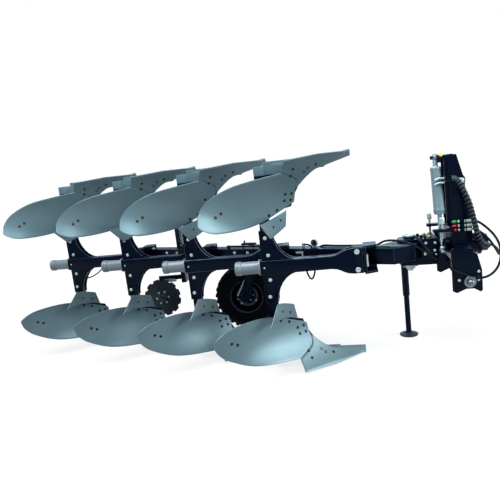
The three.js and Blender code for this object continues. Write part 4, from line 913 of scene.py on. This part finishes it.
# Lower link shaft, top link pin and stop screws
# A forged cross shaft with a flange and a ball for each lower arm of the tractor, the pin of the
# upper arm with its knob, and the two screws that the head comes to rest on.
BALL_RADIUS = 34
BALL_MIDDLE = 458.8
NECK_RADIUS = 18.5
BALL_STEPS = 14
THREADS = 44
THREAD_PITCH = 3
link_steel = finish_material(
    "link steel", "zinc_pin", (0.11, 0.145, 0.155), (0.2, 0.245, 0.26), 0.34, metallic=0.85,
    scale=16, contrast=1.8, fine=500, drawn=60, bump=0.05, dust_amount=0.04)
half_shaft = [(30, 390), (30, 412), (50, 413.5), (52, 416), (52, 428), (49, 430.8), (25, 431.2),
              (NECK_RADIUS, 433)]
neck_angle = math.asin(NECK_RADIUS / BALL_RADIUS)
for i in range(BALL_STEPS + 1):
    angle = neck_angle + (math.pi - 2 * neck_angle) * i / BALL_STEPS
    half_shaft.append((BALL_RADIUS * math.sin(angle), BALL_MIDDLE - BALL_RADIUS * math.cos(angle)))
half_shaft += [(NECK_RADIUS, 490), (NECK_RADIUS, 512), (16.5, 516), (12, 516.6)]
placed(turned("lower_link_shaft_turned", mirrored(half_shaft) + half_shaft, sides=48),
       Matrix.Translation(at(1862, 330, -262)) @ Matrix.Rotation(-QUARTER, 4, "X"),
       "headstock", link_steel, "lower_link_shaft", bevel=0.4)
placed(turned("top_link_pin_turned", [
    (12, -132.8), (15, -132), (16, -130), (16, -118), (14.5, -116.5), (14.5, -112.5), (16, -111),
    (16, 101), (25, 102), (26.8, 112), (25, 140), (20, 150), (10, 152)], sides=40),
    Matrix.Translation(at(1885, 330, 612)) @ Matrix.Rotation(-QUARTER, 4, "X"),
    "top_pin", zinc_plate, "top_link_pin", bevel=0.4)
for name, body, x, y in (("stop_screw_right", "screw_right", 1690, 140),
                         ("stop_screw_left", "screw_left", 1638, 520)):
    threads = [(10.9 if i % 2 else 12, 104 + THREAD_PITCH * i) for i in range(THREADS)]
    shank = turned(name + "_shank", [(8, 100.8), (10.5, 101), *threads, (12, 238)], sides=28)
    head = turned(name + "_head", [
        (21.5, 236.2), (24.8, 238), (24.8, 292), (21.5, 297.5), (10, 297.9)], sides=6)
    placed(joined(name + "_turned", shank, head), Matrix.Translation(at(x, y, 0)), body,
           zinc_plate, name, bevel=0.8, angle=40)

# Fittings of the beam
# A hose lies along the beam, held by clamps and led through a valve block. Beside it stand a
# sight gauge, an elbow and a valve plate with its knob, and zinc bolts hold the clamps' straps.
BEAM_MIDDLE = Vector((930, 210, 0))
BEAM_HALF = 75
BLOCK_EDGE = 3
PIPE_STEPS = 6
FORWARD = Vector((1, 0, 0))
UPWARDS = Vector((0, 0, 1))
ALONG = -BODY_STEP.normalized()
ACROSS = Vector((-ALONG.y, ALONG.x, 0))
plastic = {"fine": 900, "drawn": 120, "bump": 0.1, "dust_amount": 0.05}
cap_green = finish_material(
    "green cap", "zinc_pin", (0.03, 0.33, 0.08), (0.05, 0.44, 0.13), 0.4, scale=40, **plastic)
mark_green = finish_material(
    "green mark", "hose", (0.05, 0.15, 0.07), (0.19, 0.4, 0.22), 0.4, scale=26, contrast=2.6,
    **plastic)
cap_red = finish_material(
    "red cap", "zinc_pin", (0.52, 0.006, 0.022), (0.62, 0.014, 0.036), 0.4, scale=40, **plastic)
cap_yellow = finish_material(
    "yellow cap", "hose", (0.7, 0.56, 0.03), (0.82, 0.68, 0.05), 0.4, scale=40, **plastic)
dial_glass = finish_material(
    "dial glass", "zinc_pin", (0.012, 0.02, 0.026), (0.02, 0.03, 0.036), 0.12,
    rough_spread=0.04, scale=30, fine=900, drawn=120, bump=0.02, dust_amount=0.02)


def on_beam(x, across, z):
    """A place on the beam: forward, then from its middle towards the land, and up."""
    middle = BEAM_MIDDLE + ALONG * ((x - BEAM_MIDDLE.x) / ALONG.x)
    return at(*(middle + ACROSS * across + UPWARDS * z))


def turned_at(name, profile, place, direction, body, finish, sides=28, slot_name=None):
    """A turned fitting that stands on a place, its axis along the direction."""
    return placed(turned(name, profile, sides=sides), facing_to(place, direction), body, finish,
                  slot_name=slot_name, bevel=0)


def milled(name, size, place, body, finish, forward=FORWARD, slot_name=None):
    """A block with broken edges, its length along the forward direction, level."""
    turn = Matrix.Rotation(math.atan2(forward.y, forward.x), 4, "Z")
    return placed(cube(name, size), Matrix.Translation(place) @ turn, body, finish,
                  slot_name=slot_name, bevel=BLOCK_EDGE)


def pipe(name, points, diameter, body, finish=hose_rubber):
    """A bent pipe or a clipped hose through the given places."""
    return drawn_line(name, smooth_route(points, PIPE_STEPS), diameter, body, finish)


lead = [on_beam(*place) for place in (
    (540, 34, 74), (590, 26, 90), (700, 12, 89), (865, 6, 89), (1040, 4, 92))]
lead += [at(*place) for place in (
    (1095, 145, 93), (1166, 140, 124), (1244, 125, 128), (1309, 90, 120), (1358, 60, 110),
    (1403, 78, 88), (1460, 120, 48), (1499, 158, 17), (1518, 172, -3))]
pipe("beam_lead", lead, 21, "beam")
pipe("beam_lead_marks", [place + Vector((0, -0.001, 0.0015)) for place in lead[3:5]], 22.5,
     "beam", mark_green)
pipe("beam_lead_mark", [on_beam(x, -16, 87) for x in (1085, 1225)], 20, "beam", mark_green)
pipe("beam_conduit", [on_beam(x, -50, 101) for x in (-460, -250, -40)], 22, "beam")
pipe("elbow_tail", [on_beam(*place) for place in (
    (395, -12, 105), (430, -14, 108), (462, -12, 96), (478, -8, 76))], 18, "beam")
conduit_clamp = (20, 36, 38)
rear_strap = (66, 46, 18)
for name, size, place, finish in (
        ("conduit_clamp_0", conduit_clamp, (-440, -50, 93), bolt_black),
        ("conduit_clamp_1", conduit_clamp, (-60, -50, 93), bolt_black),
        ("valve_plate", (165, 60, 20), (-225, 4, 118), frame_paint),
        ("rear_valve_block", (82, 56, 46), (-1030, -46, 97), bolt_black),
        ("front_valve_block", (105, 46, 26), (140, -30, 87), bolt_black),
        ("rear_strap_0", rear_strap, (-1590, -40, 83), zinc_plate),
        ("rear_strap_1", rear_strap, (-1500, -40, 83), zinc_plate),
        ("side_strap", (82, 12, 20), (375, -BEAM_HALF - 5, 40), zinc_plate)):
    milled(name, size, on_beam(*place), "beam", finish, forward=ALONG)
milled("yoke_catch", (14, 46, 110), at(994, -40, -6), "beam", zinc_plate)
stud = [(8, 0), (9, 2), (9, 40), (7, 42)]
for name, place, finish, sides, profile in (
        ("valve_plate_stud_0", (-295, 4, BEAM_HALF), zinc_plate, 16, stud),
        ("valve_plate_stud_1", (-175, 4, BEAM_HALF), zinc_plate, 16, stud),
        ("valve_knob", (-275, 4, 125), bolt_black, 20, [
            (6, 0), (6, 10), (10.5, 14), (12, 21), (10, 28), (4, 31)]),
        ("side_pin", (407, -BEAM_HALF - 9, 34), zinc_plate, 16, [
            (6, -46), (6.5, -44), (6.5, 0), (10, 2), (10, 10), (5, 12)]),
        ("elbow_foot", (392, -12, BEAM_HALF), zinc_plate, 20, [
            (12, 0), (14, 2), (14, 30), (16.5, 32), (16.5, 46), (10, 50)]),
        ("gauge_stem", (492, 20, BEAM_HALF), zinc_plate, 16, [
            (11, 0), (12.5, 2), (12.5, 12), (7, 13), (7, 24)])):
    turned_at(name, profile, on_beam(*place), UPWARDS, "beam", finish, sides=sides)
gauge = on_beam(492, 20, 119)
gauge_way = Vector((-0.42, -1.0, 0.05)).normalized()
turned_at("gauge_case", [
    (30, -20), (35, -18), (37, -12), (37, 10), (35, 13), (31.5, 13), (30, 9)], gauge, gauge_way,
    "beam", zinc_plate, sides=40)
turned_at("gauge_dial", [(30, 6), (30.2, 10.5), (20, 12), (6, 12.5)], gauge, gauge_way, "beam",
          dial_glass, sides=40)
copies("valve_plugs", large_bolt, [(on_beam(*place), UPWARDS) for place in (
    (108, -30, 99.5), (172, -30, 99.5), (-1050, -46, 119), (-1010, -46, 119))], "beam",
    zinc_plate)
copies("strap_bolts", large_bolt, [
    (on_beam(x, -BEAM_HALF, 34), -ACROSS) for x in (-1259, -1116, -361, -205)], "beam",
    zinc_plate)

# Short hoses of the arms
# The reset circuit comes out under the front arm in one tight loop, beside the upper leg of the
# second in another, and along the rear leg. Each runs close to the steel at both ends.
for k, diameter, places in (
        (1, 17, [
            (432, -30, -56), (440, -30, -96), (456, -30, -132), (471, -30, -143),
            (486, -30, -132), (502, -30, -96), (511, -30, -56)]),
        (4, 15, [
            (105, -30, -186), (180, -30, -190), (260, -30, -178), (350, -30, -138),
            (405, -30, -96), (430, -30, -56)]),
        (2, 18, [
            (60, -64, 402), (20, -66, 412), (-18, -66, 398), (-41, -66, 355), (-29, -66, 291),
            (8, -67, 245), (50, -68, 226)])):
    pipe(f"arm_{k}_loop", [at(*place, body=k) for place in places], diameter, f"arm_{k}_group")

# Depth spindle and coulter sleeve
# A threaded spindle beside the wheel arm sets the depth, on a foot welded to the arm. A zinc
# sleeve on the coulter's stay lets the disc be set sideways.
turned_at("depth_spindle", [
    (7.5, 0), (8.5, 2), (8.5, 290), (12, 292), (12, 304), (8, 306)], at(-480, 974, -532),
    (150, 0, 262), "wheel_carrier", zinc_plate, sides=20)
milled("depth_spindle_foot", (104, 22, 30), at(-446, 974, -545), "wheel_carrier", frame_paint)
turned_at("coulter_sleeve", [(25, 0), (28, 3), (28, 146), (25, 149)],
          at(-1448, 1297, -346), (1, 0, -0.02), "beam", zinc_plate, sides=32)

# Hinge and small parts of the turnover head
# The hinge pin carries a zinc cap above and a castle nut below. A sole plate stiffens the head,
# a side plate closes it, and capped nipples stand on its top.
HINGE = Vector((1410, 330, 0))
SOLE_RADIUS = 106
SOLE_STEPS = 16
SOLE_LOW = -150
SOLE_THICKNESS = 49.5
turned_at("hinge_cap", [
    (56, 117.2), (57.5, 118.5), (57.5, 129), (54, 132.5), (30, 134.5), (28, 131), (6, 130.8)],
    at(*HINGE), UPWARDS, "head", zinc_plate, sides=48)
turned_at("hinge_nut", [
    (44, -150), (48, -152), (48, -196), (44, -199), (28, -200), (28, -216), (25, -219)],
    at(*HINGE), UPWARDS, "head", zinc_plate, sides=6)
turned_at("hinge_split_pin", [(5, -70), (5.6, -69), (5.6, 69), (5, 70)],
          at(HINGE.x, HINGE.y, -178), FORWARD, "head", zinc_plate, sides=12)

# The sole plate has the outline of the clevis: a half round about the hinge, straight forward
rim = []
for i in range(SOLE_STEPS + 1):
    angle = math.radians(90 + 180 * i / SOLE_STEPS)
    rim.append(HINGE + Vector((math.cos(angle), math.sin(angle), 0)) * SOLE_RADIUS)
rim += [Vector((1649, 206, 0)), Vector((1649, 454, 0))]
take()
bpy.ops.mesh.primitive_circle_add(vertices=len(rim), radius=1, fill_type="NGON")
sole = bpy.context.object
sole.name = "head_sole_plate"
for corner, place in zip(sole.data.vertices, rim):
    corner.co = at(place.x, place.y, SOLE_LOW)
bpy.ops.object.mode_set(mode="EDIT")
bpy.ops.mesh.select_all(action="SELECT")
bpy.ops.mesh.extrude_region_move(TRANSFORM_OT_translate={"value": (0, 0, SOLE_THICKNESS / 1000)})
bpy.ops.mesh.select_all(action="SELECT")
bpy.ops.mesh.normals_make_consistent(inside=False)
bpy.ops.object.mode_set(mode="OBJECT")
finished(sole, "head", frame_paint, bevel=BLOCK_EDGE)
for name, size, place, finish in (
        ("head_side_plate", (160, 14, 180), (1581, 199, 0), frame_paint),
        ("head_side_strap", (22, 10, 44), (1534, 188, -30), zinc_plate),
        ("head_lead_clip_0", (18, 30, 30), (1520, 182, -4), bolt_black),
        ("head_lead_clip_1", (18, 30, 30), (1628, 182, -95), bolt_black)):
    milled(name, size, at(*place), "head", finish)
bolts("head_side_bolts", medium_bolt, [(1545, 192, 62), (1628, 192, 60), (1622, 192, -12)],
      "head")
bolts("head_small_bolts", small_bolt, [(1566, 192, -6), (1632, 192, -50)], "head")
pipe("head_lead", [at(x, 178, z) for x, z in (
    (1512, 1), (1545, -21), (1580, -51), (1616, -84), (1640, -104))], 18, "head")
nipple = [(11, 0), (12.5, 1), (12.5, 8), (15, 9), (15, 18), (12, 21)]
for i, (x, y, finish) in enumerate((
        (1500, 400, bolt_black), (1520, 290, bolt_black), (1565, 420, cap_yellow),
        (1585, 260, cap_yellow), (1548, 235, bolt_black))):
    turned_at(f"head_nipple_{i}", nipple, at(x, y, 101), UPWARDS, "head", finish, sides=20,
              slot_name="hose")

# Small parts of the tower and headstock
# Quick couplers in their rack, green and red capped, fittings of the turnover cylinder, the boss
# plates of the upper and lower link holes, and the bolts of the near cheek.
coupler_end = [(12, -10), (14.2, -8), (14.2, 12), (12.8, 14), (12.8, 24), (10, 28)]
coupler_sleeve = [(13, -8), (15, -6), (15, 6), (13, 8)]
for z, cap in ((236, cap_green), (196, cap_red), (156, cap_red)):
    for x, way, finish in ((1816.5, -FORWARD, cap), (1936.5, FORWARD, zinc_plate)):
        turned_at(f"coupler_{int(x)}_{z}", coupler_end, at(x, 205, z), way, "headstock", finish,
                  sides=24)
    for x in (1846, 1898, 1922):
        turned_at(f"coupler_sleeve_{x}_{z}", coupler_sleeve, at(x, 205, z), FORWARD,
                  "headstock", zinc_plate, sides=24)
for z in (646, 604):
    pipe(f"cylinder_pipe_{z}", [
        at(1664, 236, z - 12), at(1700, 230, z + 2), at(1730, 228, z), at(1744, 229, z)], 18,
        "cylinder", zinc_plate)
for name, body, place, finish, sides, profile in (
        ("upper_link_boss", "headstock", (1872, 248.5, 612), frame_paint, 48, [
            (58, 0), (60, 2), (60, 9), (56, 11), (47, 11), (45, 8), (30, 7.5)]),
        ("upper_link_pin_head", "top_pin", (1885, 196, 612), zinc_plate, 32, [
            (24, 0), (26, 2), (26, 12), (20, 16), (6, 17)]),
        ("lower_hole_boss", "headstock", (1862, 248.5, 482), frame_paint, 48, [
            (52, 0), (54, 2), (54, 7), (50, 9), (32, 9.5), (30, 6), (15, 5.5)])):
    turned_at(name, profile, at(*place), TOWARDS_FURROW, body, finish, sides=sides)
bolts("lower_hole_bolt", medium_bolt, [(1862, 242.5, 482)], "headstock")
bolts("cheek_bolts", medium_bolt, [(1773, -82.5, -245), (1939, -82.5, -174),
                                   (1935, -82.5, -250)], "headstock")
pipe("cheek_lead", [at(x, -93, z) for x, z in (
    (1700, -124), (1738, -146), (1779, -169), (1820, -190), (1861, -208), (1902, -220),
    (1943, -228))], 18, "headstock")
cheek_clip = (20, 28, 32)
tower_edge = (36, 18, 655)
for name, size, place, finish in (
        ("tower_edge_0", tower_edge, (1770, 257, 522.5), frame_paint),
        ("tower_edge_1", tower_edge, (1770, 403, 522.5), frame_paint),
        ("cheek_lead_clip_0", cheek_clip, (1712, -93, -132), bolt_black),
        ("cheek_lead_clip_1", cheek_clip, (1930, -93, -226), bolt_black)):
    milled(name, size, at(*place), "headstock", finish)
milled("cylinder_port_block", (34, 44, 72), at(1717, 300, 824), "cylinder", bolt_black,
       slot_name="hose")
for name, finish, profile in (
        ("breather", bolt_black, [
            (10, 0), (12, 2), (12, 18), (17, 20), (17, 40), (12, 44)]),
        ("breather_cap", cap_yellow, [(13, 44), (16.5, 45), (16.5, 60), (12, 63)])):
    turned_at(name, profile, at(1728, 290, 838), (0, -1, 0.4), "cylinder", finish, sides=24,
              slot_name="hose")
for pattern in (large_bolt, medium_bolt, small_bolt):
    bpy.data.objects.remove(pattern)

# Studio
# A plain white floor and backdrop, one broad lamp over the furrow side, a softer one from the
# front and a weak one behind, so that the lower boards shine at their curl and the upper ones
# darken towards their shares. Sizes and distances here are in metres.
FLOOR_SIZE = 150
FLOOR_GREY = 0.24
FLOOR_GLOW = 0.8
GLOW_RISES_FROM = 2.5
GLOW_FULL_AT = 8
SKY_IN_GLOSS = (0.62, 0.82, 1, 1)
SKY_LIGHT = 0.13
SKY_MIRRORED = 0.75
take()
bpy.ops.mesh.primitive_grid_add(x_subdivisions=4, y_subdivisions=4, size=FLOOR_SIZE,
                                location=(0, 0, 0))
floor = bpy.context.object
floor.name = "floor"
white = bpy.data.materials.new("floor white")
white.use_nodes = True
floor.data.materials.append(white)

# The floor is white to the camera and in reflections, and a dull grey that takes the shadow. Away
# from the plough the lamps fall off, so the white of its own rises there to full white.
tree = white.node_tree
tree.nodes.remove(tree.nodes["Principled BSDF"])
rays = tree.nodes.new("ShaderNodeLightPath").outputs
place = tree.nodes.new("ShaderNodeTexCoord").outputs["Object"]
seen = reckoned(tree, "MAXIMUM", rays["Is Camera Ray"], rays["Is Glossy Ray"])
through = reckoned(tree, "MAXIMUM", seen, rays["Is Transmission Ray"])
distance = wired(tree, "ShaderNodeVectorMath", {0: place}, operation="LENGTH")
rise = wired(tree, "ShaderNodeMapRange", {
    "Value": distance.outputs["Value"], "From Min": GLOW_RISES_FROM, "From Max": GLOW_FULL_AT,
    "To Min": FLOOR_GLOW, "To Max": 1.0})
share = reckoned(tree, "MULTIPLY", through, rise.outputs[0])
dull = wired(tree, "ShaderNodeBsdfDiffuse", {"Color": (FLOOR_GREY, FLOOR_GREY, FLOOR_GREY, 1)})
glow = wired(tree, "ShaderNodeEmission", {"Color": (1, 1, 1, 1), "Strength": share})
both = wired(tree, "ShaderNodeAddShader", {0: dull.outputs[0], 1: glow.outputs[0]})
fill(tree, tree.nodes["Material Output"], {"Surface": both.outputs[0]})

# The backdrop: white to the camera, bluish and dimmer in reflections, and faint as a light
world = bpy.data.worlds.new("studio")
bpy.context.scene.world = world
world.use_nodes = True
tree = world.node_tree
rays = tree.nodes.new("ShaderNodeLightPath").outputs
hue = wired(tree, "ShaderNodeMix", {
    "Factor": rays["Is Glossy Ray"], "A": (1, 1, 1, 1), "B": SKY_IN_GLOSS}, data_type="RGBA")
shown = reckoned(tree, "MAXIMUM", rays["Is Camera Ray"], rays["Is Transmission Ray"])
reflected = reckoned(tree, "MULTIPLY", rays["Is Glossy Ray"], SKY_MIRRORED)
brightest = reckoned(tree, "MAXIMUM", shown, reflected)
strength = wired(tree, "ShaderNodeMapRange", {
    "Value": brightest, "To Min": SKY_LIGHT, "To Max": 1.0})
fill(tree, tree.nodes["Background"], {
    "Color": hue.outputs["Result"], "Strength": strength.outputs[0]})
for name, place, aim, size, power, tint in (
        ("overhead softbox", (-0.6, -1.6, 6.0), (0, 0.1, 0.6), (8.0, 3.2), 520, (1, 1, 1)),
        ("front softbox", (19.4, -5.3, 9.1), (-0.4, 0.1, 0.9), (11.0, 6.4), 3450,
         (0.92, 1.0, 0.98)),
        ("land side softbox", (1.6, 5.4, 3.2), (0, 0, 1.0), (3.0, 2.0), 45,
         (0.50, 0.78, 1.0))):
    take()
    bpy.ops.object.light_add(type="AREA", location=place)
    lamp = bpy.context.object
    lamp.name = name
    lamp.data.shape = "RECTANGLE"
    lamp.data.size, lamp.data.size_y = size
    lamp.data.energy = power
    lamp.data.color = tint
    lamp.rotation_euler = (Vector(aim) - Vector(place)).to_track_quat("-Z", "Y").to_euler()

bpy.context.scene.view_settings.view_transform = "Standard"
